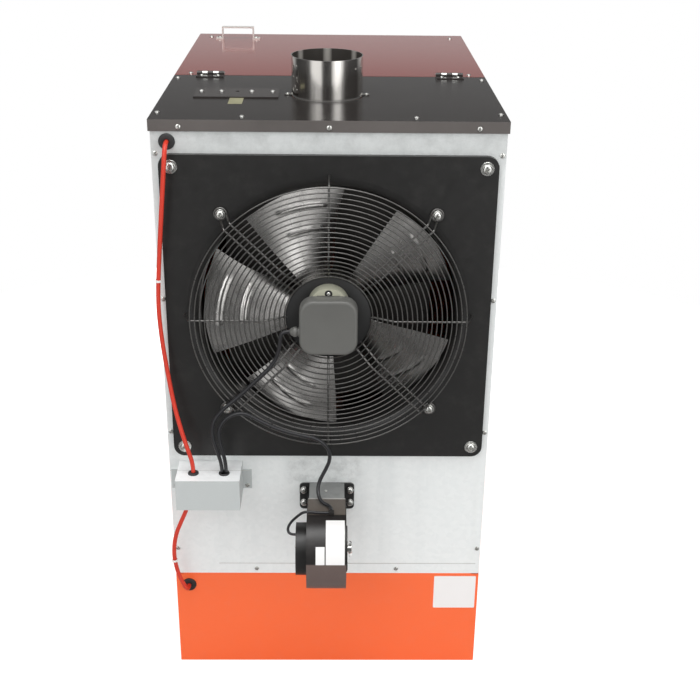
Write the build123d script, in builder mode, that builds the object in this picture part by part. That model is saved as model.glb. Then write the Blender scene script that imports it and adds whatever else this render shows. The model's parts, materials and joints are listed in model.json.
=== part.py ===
from build123d import *
import os
from math import atan2, cos, radians, sin, tan

# An oil-fired space heater: an orange base with the tank, a galvanised cabinet with the combustion
# chamber, an axial fan and a combustion-air blower on the rear, and a hinged service lid on top.
# Millimetres. X runs to the right seen from behind, the rear faces -Y, Z is up.
# The origin is on the floor, midway in width and depth.

os.makedirs("parts", exist_ok=True)

# Casing
body_width = 600.0
body_depth = 850.0
body_height = 1120.0
base_height = 215.0
sheet = 1.5
fold = 20.0
rear_fold = 30.0
overrun = 5.0
cap_overhang = 3.0
cap_drop = 20.0
lid_line = 370.0
lid_gap = 2.0
slit_width = 15.0
slit_height = 2.5
deck_upstand = 23.0
front_split = 560.0

side_x = body_width / 2
rear_y = -body_depth / 2
front_y = body_depth / 2
inner_x = side_x - sheet
cap_x = side_x + cap_overhang
cap_under = body_height - sheet
cap_low = body_height - cap_drop
lid_y = rear_y + lid_line
deck_top = base_height + sheet
rear_panel_low = base_height + deck_upstand

# Fasteners
screw_r = 2.0
screw_head_r = 4.5
screw_head = 2.4
screw_length = 9.0
bolt_r = 4.0
bolt_head_r = 7.0
bolt_head = 5.0
washer_r = 12.0
washer = 2.0
hole_clearance = 0.3

# Fan plate and bell mouth
fan_z = 774.0
plate_size = 576.0
plate_corner_r = 20.0
plate_standoff = 10.0
plate_sheet = 2.0
plate_bolt_spacing = 535.0
throat_r = 229.0
mouth_curve_r = 22.0
nozzle_depth = 80.0
rear_aperture_r = 245.0

plate_y = rear_y - plate_standoff
mouth_r = throat_r + mouth_curve_r
mouth_y = plate_y + mouth_curve_r
nozzle_end = plate_y + nozzle_depth
plate_bolt = plate_bolt_spacing / 2
plate_low = fan_z - plate_size / 2

# Fan guard
guard_bolt_r = 263.0
guard_front = 33.0
guard_dip = 22.0
guard_ring_count = 20
guard_inner_r = 78.0
guard_outer_r = 243.0
guard_dip_r = 118.0
guard_leg_r = 254.0
guard_wire_r = 1.25
guard_spoke_r = 2.0
guard_pair_gap = 15.0
guard_hub_plate = 3.0
guard_ring_gap = 0.2
guard_eye_r = 14.0
guard_washer_r = 9.0
guard_seam_angle = 22.5

guard_y = plate_y - guard_front
guard_hub_y = guard_y + guard_dip
guard_hub_front = guard_hub_y - guard_hub_plate
guard_pitch = (guard_outer_r - guard_inner_r) / (guard_ring_count - 1)

# Fan motor and impeller
flange_r = 50.0
flange_depth = 26.0
flange_lug_r = 36.0
flange_lug_rise = 28.0
stator_r = 46.0
rotor_r = 66.0
rotor_wall = 12.0
rotor_length = 60.0
rotor_gap = 4.0
shaft_r = 8.0
running_clearance = 0.05
cover_size = 102.0
cover_depth = 26.0
cover_corner_r = 25.0
gland_r = 9.0
gland_length = 16.0
gland_drop = 11.0
hub_ring_wall = 3.0
hub_fit = 0.1
blade_count = 5
blade_first_angle = 34.0
blade_tip_gap = 5.0
blade_sheet = 2.0
blade_setback = 10.0
blade_root_chord = 88.0
blade_mid_chord = 118.0
blade_tip_chord = 132.0
blade_root_pitch = 38.0
blade_mid_pitch = 29.0
blade_tip_pitch = 22.0

flange_front = guard_hub_front - flange_depth
cover_front = flange_front - cover_depth
rotor_start = guard_hub_y + rotor_gap
rotor_end = rotor_start + rotor_length
blade_y = rotor_end - blade_setback
blade_r = throat_r - blade_tip_gap

# Flue and heat exchanger
flue_x = -5.0
flue_from_rear = 199.0
flue_r = 65.0
flue_wall = 1.2
flue_height = 72.0
flue_insertion = 68.0
flue_swell = 0.8
flue_lug_width = 14.0
flue_lug = 12.0
flue_hole_gap = 1.5
exchanger_width = 380.0
exchanger_depth = 170.0
exchanger_height = 500.0
exchanger_headroom = 60.0
exchanger_wall = 2.0
link_width = 160.0
link_drop = 180.0
link_height = 90.0
link_flange = 15.0

flue_y = rear_y + flue_from_rear
flue_top = body_height + flue_height
flue_seat = flue_top - flue_insertion
flue_bore_r = flue_r - flue_wall - flue_swell
exchanger_rear = flue_y - exchanger_depth / 2 + exchanger_wall
exchanger_front = exchanger_rear + exchanger_depth
exchanger_high = body_height - exchanger_headroom
exchanger_low = exchanger_high - exchanger_height
link_low = exchanger_high - link_drop

# Combustion chamber and burner
chamber_from_front = 270.0
chamber_r = 190.0
chamber_wall = 2.0
chamber_low = 300.0
chamber_headroom = 110.0
skirt_r = 150.0
rim_width = 12.0
pot_floor = 330.0
pot_r = 110.0
pot_height = 90.0
pot_wall = 6.0
burner_ring_r = 122.0
burner_ring_wall = 2.0
burner_ring_height = 100.0
burner_hole_r = 6.0
burner_hole_count = 16
burner_row_shares = [0.35, 0.65]
cover_plate_thick = 3.0
cover_lip = 10.0
cover_handle_width = 90.0
cover_handle_height = 26.0
cover_handle_r = 4.0
fit_gap = 0.3

chamber_y = front_y - chamber_from_front
chamber_rear = chamber_y - chamber_r
chamber_high = body_height - chamber_headroom

# Combustion-air blower
blower_x = -2.0
neck_width = 66.0
neck_drop = 63.0
neck_height = 57.0
blower_flange_width = 104.0
blower_flange_height = 57.0
blower_flange_sheet = 3.0
blower_flange_corner_r = 8.0
blower_bolt_x = 44.0
blower_bolt_z = 13.5
blower_wall = 1.5
neck_length = 58.0
scroll_width = 72.0
scroll_r = 72.0
scroll_from_wall = 117.0
inlet_r = 34.0
wheel_r = 54.0
wheel_width = 50.0
wheel_blade_count = 24
wheel_blade_depth = 9.0
blower_motor_r = 48.0
blower_motor_length = 20.0
blower_shaft_r = 4.0
shutter_r = 42.0
shutter_thick = 2.0
shutter_window_r = 12.0
shutter_window_at = 22.0
shutter_window_count = 4
lever_length = 26.0
lever_width = 8.0
lever_angle = -2.0
guard_bar = 3.0
lead_clip = 10.0
lead_clip_height = 7.0
lead_clip_out = 115.0

neck_high = plate_low - neck_drop
neck_low = neck_high - neck_height
blower_flange_y = rear_y - blower_flange_sheet
scroll_y = rear_y - scroll_from_wall
scroll_z = neck_high - scroll_r
neck_z = (neck_low + neck_high) / 2
neck_end = blower_flange_y - neck_length
scroll_left = blower_x - scroll_width / 2
scroll_right = blower_x + scroll_width / 2

# Junction box and grommets
box_inset = 79.0
box_width = 118.0
box_depth = 79.0
box_drop = 15.0
box_height = 62.0
box_sheet = 1.2
ear_width = 17.0
ear_drop = 4.0
ear_height = 47.0
ear_screw_rise = 8.0
strip_width = 84.0
strip_depth = 20.0
strip_height = 18.0
grommet_upper_inset = 27.4
grommet_upper_drop = 38.0
grommet_base_inset = 25.2
grommet_base_z = 187.6
grommet_r = 14.0
box_grommet_r = 10.0
grommet_neck_share = 0.78
grommet_lip = 3.5
box_grommet_out = 51.0
box_grommet_left_out = 28.0
box_grommet_right_out = 29.0

box_x = box_inset - side_x
box_high = plate_low - box_drop
box_low = box_high - box_height
ear_low = box_low - ear_drop
ear_high = ear_low + ear_height
ear_screw_z = box_low + ear_screw_rise
box_grommet_y = rear_y - box_grommet_out
box_grommet_left = box_x - box_grommet_left_out
box_grommet_right = box_x + box_grommet_right_out
grommet_upper_x = grommet_upper_inset - side_x
grommet_upper_z = body_height - grommet_upper_drop
grommet_base_x = grommet_base_inset - side_x

# Cords
red_cord_r = 4.0
black_cord_r = 3.5
lead_cord_r = 2.5
tie_width = 4.0
tie_wall = 1.2
tie_clearance = 0.3
cord_bend_share = 0.45

# Front side: outlet, lower panel and control box
outlet_margin = 70.0
outlet_height = 420.0
outlet_headroom = 80.0
outlet_frame_depth = 60.0
outlet_frame_sheet = 2.0
outlet_frame_lip = 16.0
outlet_fit = 1.0
vane_count = 4
vane_chord = 80.0
vane_thick = 5.0
vane_pin_r = 4.0
vane_end_gap = 1.0
control_inset = 150.0
control_z = 480.0
control_width = 230.0
control_height = 110.0
control_depth = 60.0
control_sheet = 2.0
knob_r = 18.0
knob_depth = 16.0
knob_shaft_r = 3.0
rocker_width = 14.0
rocker_height = 24.0
rocker_depth = 8.0
rocker_proud = 3.0
rocker_gap = 1.2
rocker_pin_r = 1.5
button_r = 6.0
button_travel = 3.0
button_depth = 12.0
control_spacing = 62.0

outlet_width = body_width - 2 * outlet_margin
outlet_high = body_height - outlet_headroom
outlet_low = outlet_high - outlet_height
control_x = side_x - control_inset

# Fuel system
tank_side_gap = 30.0
tank_end_gap = 35.0
tank_height = 186.0
tank_wall = 2.0
neck_inset = 130.0
filler_r = 28.0
filler_wall = 2.0
filler_out = 46.0
filler_z = 120.0
filler_top = 198.0
filler_cap_r = 34.0
filler_cap_thick = 5.0
cap_hinge_r = 4.0
cap_pin_r = 2.0
cap_hinge_length = 14.0
pump_inset = 65.0
pump_from_rear = 225.0
pump_width = 56.0
pump_depth = 60.0
pump_height = 62.0
pump_motor_r = 30.0
pump_motor_length = 90.0
fuel_pipe_r = 4.0
fuel_pipe_bend_r = 18.0
suction_inset = 120.0
fuel_port_z = 245.0
feed_z = 345.0
feed_boss = 10.0
feed_boss_r = 10.0
thermostat_width = 28.0
thermostat_depth = 36.0
thermostat_height = 40.0
thermostat_from_rear = 45.0
thermostat_headroom = 90.0

tank_width = body_width - 2 * tank_side_gap
tank_depth = body_depth - 2 * tank_end_gap
neck_x = side_x - neck_inset
pump_x = side_x - pump_inset
pump_y = rear_y + pump_from_rear
suction_x = side_x - suction_inset
thermostat_y = rear_y + thermostat_from_rear
thermostat_z = body_height - thermostat_headroom

# Top fittings
hinge_width = 53.0
hinge_leaf = 22.0
hinge_sheet = 2.0
hinge_knuckle_r = 4.0
hinge_pin_r = 2.0
hinge_inset = 67.0
knuckle_count = 5
hinge_knuckle_gap = 0.3
handle_inset = 89.5
handle_from_rear = 788.0
handle_grip = 66.0
handle_foot = 16.5
handle_width = 14.0
handle_height = 27.0
handle_sheet = 3.0
hatch_inset = 131.5
hatch_width = 153.0
hatch_depth = 74.0
hatch_from_rear = 166.0
hatch_thick = 2.0
hatch_hole_r = 4.0
liner_margin = 22.0
liner_depth = 8.0
liner_sheet = 1.0

hinge_x = side_x - hinge_inset
handle_centre_x = handle_inset - side_x
hatch_x = hatch_inset - side_x
hinge_z = body_height + hinge_knuckle_r
hinge_y = lid_y + lid_gap / 2

DOWN = (0, 0, -1)
UP = (0, 0, 1)
REAR = (0, -1, 0)
FRONT = (0, 1, 0)
LEFT = (-1, 0, 0)
RIGHT = (1, 0, 0)


def block(low, high, mode=Mode.ADD):
    """A box between two corners, in the part being built."""
    size = [b - a for a, b in zip(low, high)]
    middle = [(a + b) / 2 for a, b in zip(low, high)]
    with Locations(tuple(middle)):
        Box(*size, mode=mode)


def rod(start, axis, radius, length, mode=Mode.ADD):
    """A cylinder from a point along a direction, in the part being built."""
    with Locations(Plane(origin=tuple(start), z_dir=tuple(axis)).location):
        Cylinder(radius, length, align=(Align.CENTER, Align.CENTER, Align.MIN), mode=mode)


def bore(start, axis, radius, length):
    """A round hole from a point along a direction, started and ended one overrun outside."""
    back = [s - overrun * a for s, a in zip(start, axis)]
    rod(back, axis, radius, length + 2 * overrun, Mode.SUBTRACT)


def screw(place, outward):
    """A pan-head screw seated on a face, its shank going in."""
    inward = [-a for a in outward]
    rod(place, outward, screw_head_r, screw_head)
    rod(place, inward, screw_r, screw_length)


def screw_holes(places, outward):
    """Clearance holes for screws set on a face."""
    inward = [-a for a in outward]
    for place in places:
        bore(place, inward, screw_r + hole_clearance, screw_length)


def bolt(place, outward, length, under_head):
    """A hex bolt on a washer of the given radius, its shank going in."""
    inward = [-a for a in outward]
    rod(place, outward, under_head, washer)
    on_washer = [p + washer * a for p, a in zip(place, outward)]
    with BuildSketch(Plane(origin=tuple(on_washer), z_dir=outward)) as head:
        RegularPolygon(bolt_head_r, 6)
    extrude(head.sketch, amount=bolt_head)
    rod(place, inward, bolt_r, length)


def fan_plane(angle):
    """The plane through the fan axis at an angle: its x is the radius, its y is the front."""
    a = radians(angle)
    return Plane(origin=(0, 0, fan_z), x_dir=(cos(a), 0, sin(a)), z_dir=(-sin(a), 0, cos(a)))


# Screw places, each on the face that it holds
cap_edge = 18.0
cap_screw_x = 147.0
cap_rear_screw = 20.0
cap_side_screw = 48.0
cap_face_screw_inset = 48.0
cap_face_screw_drop = 12.0
lid_screw_inset = 27.0
lid_screw_edge = 17.0
edge_screw_inset = 7.0
rear_screw_z = [1062.0, 798.0, 532.0, 273.7]
deck_screw_x = [-140.0, 135.0]
deck_screw_z = 226.0
front_screw_z_shares = [0.04, 0.5, 0.96]
hatch_screw_x_shares = [-0.43, -0.19, 0.17, 0.42]
hatch_screw_back = 27.0

cap_side_screw_x = side_x - edge_screw_inset
cap_face_screw_x = side_x - cap_face_screw_inset
lid_screw_x = side_x - lid_screw_inset
cap_top_screws = [(s * cap_screw_x, rear_y + cap_rear_screw, body_height) for s in (-1, 1)]
cap_top_screws += [
    (s * cap_side_screw_x, y, body_height)
    for s in (-1, 1)
    for y in (rear_y + cap_side_screw, lid_y - cap_side_screw + cap_edge)
]
cap_face_z = body_height - cap_face_screw_drop
cap_face_screws = [(x, rear_y - cap_overhang, cap_face_z) for x in (-cap_face_screw_x, 0, cap_face_screw_x)]
lid_screws = [
    (s * lid_screw_x, y, body_height)
    for s in (-1, 1)
    for y in (lid_y + lid_screw_edge, front_y - liner_margin - lid_screw_edge)
]
rear_screws = [(s * (side_x - edge_screw_inset), rear_y, z) for s in (-1, 1) for z in rear_screw_z]
deck_screws = [(x, rear_y, deck_screw_z) for x in deck_screw_x]


def edge_places(low, high):
    """Screw places up both edges of a front panel."""
    heights = [low + share * (high - low) for share in front_screw_z_shares]
    return [(s * (side_x - edge_screw_inset), front_y, z) for s in (-1, 1) for z in heights]


front_upper_screws = edge_places(front_split, cap_low)
front_lower_screws = edge_places(rear_panel_low, front_split)
base_front_screws = edge_places(sheet + fold, base_height - fold)
hatch_screw_y = rear_y + hatch_from_rear + hatch_depth - hatch_screw_back
hatch_screws = [
    (hatch_x + share * hatch_width, hatch_screw_y, body_height + hatch_thick)
    for share in hatch_screw_x_shares
]
handle_y = rear_y + handle_from_rear
handle_foot_x = handle_grip / 2 + handle_foot / 2
handle_screws = [
    (handle_centre_x + s * handle_foot_x, handle_y, body_height + handle_sheet) for s in (-1, 1)
]
ear_x = box_width / 2 + ear_width / 2
ear_screws = [(box_x + s * ear_x, rear_y - box_sheet, ear_screw_z) for s in (-1, 1)]

# Bolt places on the fan plate, the guard and the blower flange
plate_bolts = [
    (x, plate_y, fan_z + z)
    for x in (-plate_bolt, plate_bolt)
    for z in (-plate_bolt, plate_bolt)
]
guard_eye = guard_bolt_r * sin(radians(45))
guard_bolts = [
    (x, plate_y - plate_sheet, fan_z + z)
    for x in (-guard_eye, guard_eye)
    for z in (-guard_eye, guard_eye)
]
blower_bolts = [
    (blower_x + x, blower_flange_y, neck_z + z)
    for x in (-blower_bolt_x, blower_bolt_x)
    for z in (-blower_bolt_z, blower_bolt_z)
]

# Base casing: floor, rear and side walls folded from one sheet, open at the top and the front
with BuildPart() as base_casing:
    block((-side_x, rear_y, 0), (side_x, front_y - sheet, base_height))
    inside_top = (inner_x, front_y + overrun, base_height + overrun)
    block((-inner_x, rear_y + sheet, sheet), inside_top, Mode.SUBTRACT)
    for s in (-1, 1):
        wall_x = s * inner_x
        rail_x = s * (inner_x - fold)
        low_x, high_x = sorted((wall_x, rail_x))
        block((low_x, rear_y + sheet, base_height - sheet), (high_x, front_y - sheet, base_height))
        block((low_x, front_y - 2 * sheet, sheet), (high_x, front_y - sheet, base_height))
        slit_low, slit_high = sorted((s * side_x, s * (side_x - slit_width)))
        slit_z = base_height - slit_height
        block((slit_low, rear_y - overrun, slit_z), (slit_high, rear_y + sheet, base_height), Mode.SUBTRACT)
    bore((grommet_base_x, rear_y, grommet_base_z), FRONT, grommet_r * grommet_neck_share, sheet)
    screw_holes(base_front_screws, FRONT)
base_casing.part.label = "base_casing"
export_step(base_casing.part, "parts/base_casing.step")

with BuildPart() as base_front_panel:
    block((-side_x, front_y - sheet, 0), (side_x, front_y, base_height))
    bore((neck_x, front_y, filler_z), REAR, filler_r + hole_clearance, sheet)
    screw_holes(base_front_screws, FRONT)
base_front_panel.part.label = "base_front_panel"
export_step(base_front_panel.part, "parts/base_front_panel.step")

# Fuel tank: a welded box on the base floor, with ports for the filler and the suction line
tank_x = tank_width / 2
tank_y = tank_depth / 2
tank_top = sheet + tank_height
with BuildPart() as fuel_tank:
    block((-tank_x, -tank_y, sheet), (tank_x, tank_y, tank_top))
    block(
        (-tank_x + tank_wall, -tank_y + tank_wall, sheet + tank_wall),
        (tank_x - tank_wall, tank_y - tank_wall, tank_top - tank_wall),
        Mode.SUBTRACT,
    )
    bore((neck_x, tank_y, filler_z), REAR, filler_r - filler_wall, tank_wall)
    bore((suction_x, pump_y, tank_top), DOWN, fuel_pipe_r + hole_clearance, tank_wall)
fuel_tank.part.label = "fuel_tank"
export_step(fuel_tank.part, "parts/fuel_tank.step")

# Filler: a stub through the front panel that turns up into an open mouth with a hinge lug
filler_y = front_y + filler_out
cap_axis_y = filler_y - filler_cap_r - cap_hinge_r / 2
cap_axis_z = filler_top + filler_cap_thick / 2
with BuildPart() as tank_filler_neck:
    rod((neck_x, tank_y, filler_z), FRONT, filler_r, filler_y - tank_y)
    rod((neck_x, filler_y, filler_z - filler_r), UP, filler_r, filler_top - filler_z + filler_r)
    inner_r = filler_r - filler_wall
    rod((neck_x, tank_y - overrun, filler_z), FRONT, inner_r, filler_y - tank_y + overrun, Mode.SUBTRACT)
    neck_bottom = filler_z - filler_r + filler_wall
    rod((neck_x, filler_y, neck_bottom), UP, inner_r, filler_top - neck_bottom + overrun, Mode.SUBTRACT)
    for s in (-1, 1):
        lug_a = neck_x + s * (cap_hinge_length / 2 + fit_gap)
        lug_b = lug_a + s * cap_hinge_r
        low_x, high_x = sorted((lug_a, lug_b))
        block(
            (low_x, cap_axis_y - cap_hinge_r, filler_top - 4 * cap_hinge_r),
            (high_x, filler_y - filler_r + filler_wall / 2, cap_axis_z + cap_hinge_r),
        )
        rod((lug_a - s * overrun, cap_axis_y, cap_axis_z), (s, 0, 0), cap_pin_r + running_clearance,
            cap_hinge_r + 2 * overrun, Mode.SUBTRACT)
tank_filler_neck.part.label = "tank_filler_neck"
export_step(tank_filler_neck.part, "parts/tank_filler_neck.step")

cap_pin_length = cap_hinge_length + 2 * (fit_gap + cap_hinge_r)
with BuildPart() as filler_cap:
    rod((neck_x, filler_y, filler_top), UP, filler_cap_r, filler_cap_thick)
    block(
        (neck_x - cap_hinge_length / 2, cap_axis_y, filler_top),
        (neck_x + cap_hinge_length / 2, filler_y, filler_top + filler_cap_thick),
    )
    hinge_start = (neck_x - cap_hinge_length / 2, cap_axis_y, cap_axis_z)
    rod(hinge_start, RIGHT, filler_cap_thick / 2, cap_hinge_length)
    rod((neck_x - cap_pin_length / 2, cap_axis_y, cap_axis_z), RIGHT, cap_pin_r, cap_pin_length)
    for s in (-1, 1):
        notch_a = neck_x + s * cap_hinge_length / 2
        notch_b = neck_x + s * (cap_hinge_length / 2 + 2 * fit_gap + cap_hinge_r)
        low_x, high_x = sorted((notch_a, notch_b))
        block(
            (low_x, cap_axis_y + cap_pin_r + fit_gap, filler_top - overrun),
            (high_x, filler_y - filler_r + filler_wall, filler_top + filler_cap_thick + overrun),
            Mode.SUBTRACT,
        )
filler_cap.part.label = "filler_cap"
export_step(filler_cap.part, "parts/filler_cap.step")

# Deck: the galvanised plate over the base, turned up at the rear and the front
with BuildPart() as chassis_deck:
    block((-side_x, rear_y, base_height), (side_x, front_y, deck_top))
    block((-side_x, rear_y, deck_top), (side_x, rear_y + sheet, rear_panel_low))
    block((-side_x, front_y - sheet, deck_top), (side_x, front_y, rear_panel_low))
    bore((suction_x, pump_y, deck_top), DOWN, fuel_pipe_r + hole_clearance, sheet)
    screw_holes(deck_screws, REAR)
chassis_deck.part.label = "chassis_deck"
export_step(chassis_deck.part, "parts/chassis_deck.step")


def side_panel_body(s):
    """One side of the cabinet, with inward folds at the rear, the front and the top."""
    wall_low, wall_high = sorted((s * side_x, s * inner_x))
    fold_low, fold_high = sorted((s * inner_x, s * (inner_x - fold)))
    low_y = rear_y + sheet
    high_y = front_y - sheet
    block((wall_low, low_y, deck_top), (wall_high, high_y, cap_under))
    block((fold_low, low_y, rear_panel_low), (fold_high, low_y + sheet, cap_under))
    block((fold_low, high_y - sheet, rear_panel_low), (fold_high, high_y, cap_under))
    block((fold_low, low_y, cap_under - sheet), (fold_high, high_y, cap_under))
    screw_holes(rear_screws + ear_screws, REAR)
    screw_holes(front_upper_screws + front_lower_screws, FRONT)
    screw_holes(cap_top_screws, UP)


with BuildPart() as side_panel_left:
    side_panel_body(-1)
    bore((grommet_upper_x, rear_y + sheet, grommet_upper_z), FRONT, grommet_r + hole_clearance, sheet)
side_panel_left.part.label = "side_panel_left"
export_step(side_panel_left.part, "parts/side_panel_left.step")

with BuildPart() as side_panel_right:
    side_panel_body(1)
side_panel_right.part.label = "side_panel_right"
export_step(side_panel_right.part, "parts/side_panel_right.step")

# Rear panel: galvanised sheet with the fan aperture, the burner air hole and a stiffening fold
with BuildPart() as rear_panel:
    block((-side_x, rear_y, rear_panel_low), (side_x, rear_y + sheet, cap_under))
    rear_fold_x = inner_x - 2 * fold
    block((-rear_fold_x, rear_y, cap_under - sheet), (rear_fold_x, rear_y + rear_fold, cap_under))
    bore((0, rear_y, fan_z), FRONT, rear_aperture_r, sheet)
    bore((grommet_upper_x, rear_y, grommet_upper_z), FRONT, grommet_r * grommet_neck_share, sheet)
    duct_x = neck_width / 2 - blower_wall
    block(
        (blower_x - duct_x, rear_y - overrun, neck_low + blower_wall),
        (blower_x + duct_x, rear_y + fold, neck_high - blower_wall),
        Mode.SUBTRACT,
    )
    screw_holes(rear_screws, REAR)
    screw_holes(ear_screws, REAR)
    screw_holes([(x, rear_y, z) for x, y, z in cap_face_screws], REAR)
    screw_holes(cap_top_screws, UP)
    for x, y, z in plate_bolts + blower_bolts:
        bore((x, rear_y, z), FRONT, bolt_r + hole_clearance, sheet)
rear_panel.part.label = "rear_panel"
export_step(rear_panel.part, "parts/rear_panel.step")

# Front panels: the upper one carries the warm-air outlet, the lower one the controls
with BuildPart() as front_panel:
    block((-side_x, front_y - sheet, front_split), (side_x, front_y, cap_under))
    block(
        (-outlet_width / 2, front_y - 2 * sheet, outlet_low),
        (outlet_width / 2, front_y + overrun, outlet_high),
        Mode.SUBTRACT,
    )
    screw_holes(front_upper_screws, FRONT)
front_panel.part.label = "front_panel"
export_step(front_panel.part, "parts/front_panel.step")

control_half_x = control_width / 2 - outlet_frame_lip
control_half_z = control_height / 2 - outlet_frame_lip
with BuildPart() as front_lower_panel:
    block((-side_x, front_y - sheet, rear_panel_low), (side_x, front_y, front_split))
    block(
        (control_x - control_half_x, front_y - 2 * sheet, control_z - control_half_z),
        (control_x + control_half_x, front_y + overrun, control_z + control_half_z),
        Mode.SUBTRACT,
    )
    screw_holes(front_lower_screws, FRONT)
front_lower_panel.part.label = "front_lower_panel"
export_step(front_lower_panel.part, "parts/front_lower_panel.step")

# Outlet frame: a sleeve in the aperture with a lip outside and bearing holes for the vanes
outlet_x = outlet_width / 2 - outlet_fit
outlet_z0 = outlet_low + outlet_fit
outlet_z1 = outlet_high - outlet_fit
outlet_in_x = outlet_x - outlet_frame_sheet
vane_y = front_y - outlet_frame_depth / 2 + outlet_frame_lip / 2
vane_pitch = (outlet_z1 - outlet_z0) / vane_count
vane_z = [outlet_z0 + (i + 0.5) * vane_pitch for i in range(vane_count)]
with BuildPart() as outlet_frame:
    block((-outlet_x, front_y - outlet_frame_depth, outlet_z0), (outlet_x, front_y, outlet_z1))
    block(
        (-outlet_width / 2 - outlet_frame_lip, front_y, outlet_low - outlet_frame_lip),
        (outlet_width / 2 + outlet_frame_lip, front_y + outlet_frame_sheet, outlet_high + outlet_frame_lip),
    )
    block(
        (-outlet_in_x, front_y - outlet_frame_depth - overrun, outlet_z0 + outlet_frame_sheet),
        (outlet_in_x, front_y + overrun, outlet_z1 - outlet_frame_sheet),
        Mode.SUBTRACT,
    )
    for z in vane_z:
        bore((-outlet_x, vane_y, z), RIGHT, vane_pin_r + running_clearance, 2 * outlet_x)
outlet_frame.part.label = "outlet_frame"
export_step(outlet_frame.part, "parts/outlet_frame.step")


def vane_body(z):
    """One louvre vane: a rounded blade on two end pins."""
    half = outlet_in_x - vane_end_gap
    with BuildSketch(Plane(origin=(-half, vane_y, z), x_dir=(0, 1, 0), z_dir=(1, 0, 0))) as section:
        SlotOverall(vane_chord, vane_thick)
        Circle(vane_pin_r + vane_end_gap)
    extrude(section.sketch, amount=2 * half)
    rod((-outlet_x, vane_y, z), RIGHT, vane_pin_r, 2 * outlet_x)


for index, z in enumerate(vane_z):
    with BuildPart() as louvre_vane:
        vane_body(z)
    louvre_vane.part.label = f"louvre_vane_{index + 1}"
    export_step(louvre_vane.part, f"parts/louvre_vane_{index + 1}.step")

# Top cover: the fixed dark tray over the rear, with the flue hole
with BuildPart() as top_cover:
    block((-cap_x, rear_y - cap_overhang, cap_low), (cap_x, lid_y, body_height))
    block(
        (-cap_x + sheet, rear_y - cap_overhang + sheet, cap_low - overrun),
        (cap_x - sheet, lid_y + overrun, cap_under),
        Mode.SUBTRACT,
    )
    block((-inner_x + 2 * fold, lid_y - sheet, cap_low), (inner_x - 2 * fold, lid_y, cap_under))
    bore((flue_x, flue_y, body_height), DOWN, flue_r + flue_hole_gap, sheet)
    screw_holes(cap_top_screws, UP)
    screw_holes(cap_face_screws, REAR)
    screw_holes(hatch_screws, UP)
top_cover.part.label = "top_cover"
export_step(top_cover.part, "parts/top_cover.step")

# Lid: the hinged tray over the chamber, with a heat shield under it
lid_rear = lid_y + lid_gap
lid_front = front_y + cap_overhang
with BuildPart() as lid:
    block((-cap_x, lid_rear, cap_low), (cap_x, lid_front, body_height))
    block(
        (-cap_x + sheet, lid_rear - overrun, cap_low - overrun),
        (cap_x - sheet, lid_front - sheet, cap_under),
        Mode.SUBTRACT,
    )
    screw_holes(lid_screws, UP)
    screw_holes(handle_screws, UP)
lid.part.label = "lid"
export_step(lid.part, "parts/lid.step")

liner_x = side_x - liner_margin
liner_low = cap_under - liner_depth
with BuildPart() as lid_liner:
    block((-liner_x, lid_rear, liner_low), (liner_x, front_y - liner_margin, cap_under))
    block(
        (-liner_x + liner_sheet, lid_rear + liner_sheet, liner_low + liner_sheet),
        (liner_x - liner_sheet, front_y - liner_margin - liner_sheet, cap_under + overrun),
        Mode.SUBTRACT,
    )
    screw_holes(lid_screws, UP)
lid_liner.part.label = "lid_liner"
export_step(lid_liner.part, "parts/lid_liner.step")

with BuildPart() as lid_handle:
    bar_low = body_height + handle_height - handle_sheet
    for s in (-1, 1):
        leg_a = handle_centre_x + s * handle_grip / 2
        leg_b = leg_a + s * handle_sheet
        foot_b = leg_a + s * handle_foot
        front = handle_y + handle_width / 2
        back = handle_y - handle_width / 2
        foot_low, foot_high = sorted((leg_a, foot_b))
        leg_low, leg_high = sorted((leg_a, leg_b))
        block((foot_low, back, body_height), (foot_high, front, body_height + handle_sheet))
        block((leg_low, back, body_height), (leg_high, front, body_height + handle_height))
    grip_half = handle_grip / 2
    block(
        (handle_centre_x - grip_half, handle_y - handle_width / 2, bar_low),
        (handle_centre_x + grip_half, handle_y + handle_width / 2, body_height + handle_height),
    )
    screw_holes(handle_screws, UP)
lid_handle.part.label = "lid_handle"
export_step(lid_handle.part, "parts/lid_handle.step")


def hinge_knuckles(centre, first, side, leaf_from, leaf_to):
    """One leaf of a butt hinge with every other knuckle, on the side away from or over the lid."""
    start = centre - hinge_width / 2
    pitch = hinge_width / knuckle_count
    low_y, high_y = sorted((leaf_from, leaf_to))
    block((start, low_y, body_height), (start + hinge_width, high_y, body_height + hinge_sheet))
    for k in range(knuckle_count):
        own = k % 2 == first
        length = pitch - 2 * hinge_knuckle_gap if own else pitch
        begin = start + k * pitch + (hinge_knuckle_gap if own else 0)
        if own:
            rod((begin, hinge_y, hinge_z), RIGHT, hinge_knuckle_r, length)
        else:
            radius = hinge_knuckle_r + hinge_knuckle_gap
            rod((begin, hinge_y, hinge_z), RIGHT, radius, length, Mode.SUBTRACT)
            away = hinge_y - side * (hinge_knuckle_r + hinge_knuckle_gap)
            near = hinge_y + side * (hinge_knuckle_r + hinge_knuckle_gap)
            gap_low, gap_high = sorted((away, near))
            top = body_height + hinge_sheet + overrun
            block((begin, gap_low, body_height), (begin + length, gap_high, top), Mode.SUBTRACT)
    bore((start, hinge_y, hinge_z), RIGHT, hinge_pin_r + running_clearance, hinge_width)


with BuildPart() as hinge_cover_leaves:
    for s in (-1, 1):
        hinge_knuckles(s * hinge_x, 0, -1, hinge_y - lid_gap / 2, lid_y - hinge_leaf)
        rod((s * hinge_x - hinge_width / 2, hinge_y, hinge_z), RIGHT, hinge_pin_r, hinge_width)
hinge_cover_leaves.part.label = "hinge_cover_leaves"
export_step(hinge_cover_leaves.part, "parts/hinge_cover_leaves.step")

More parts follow.
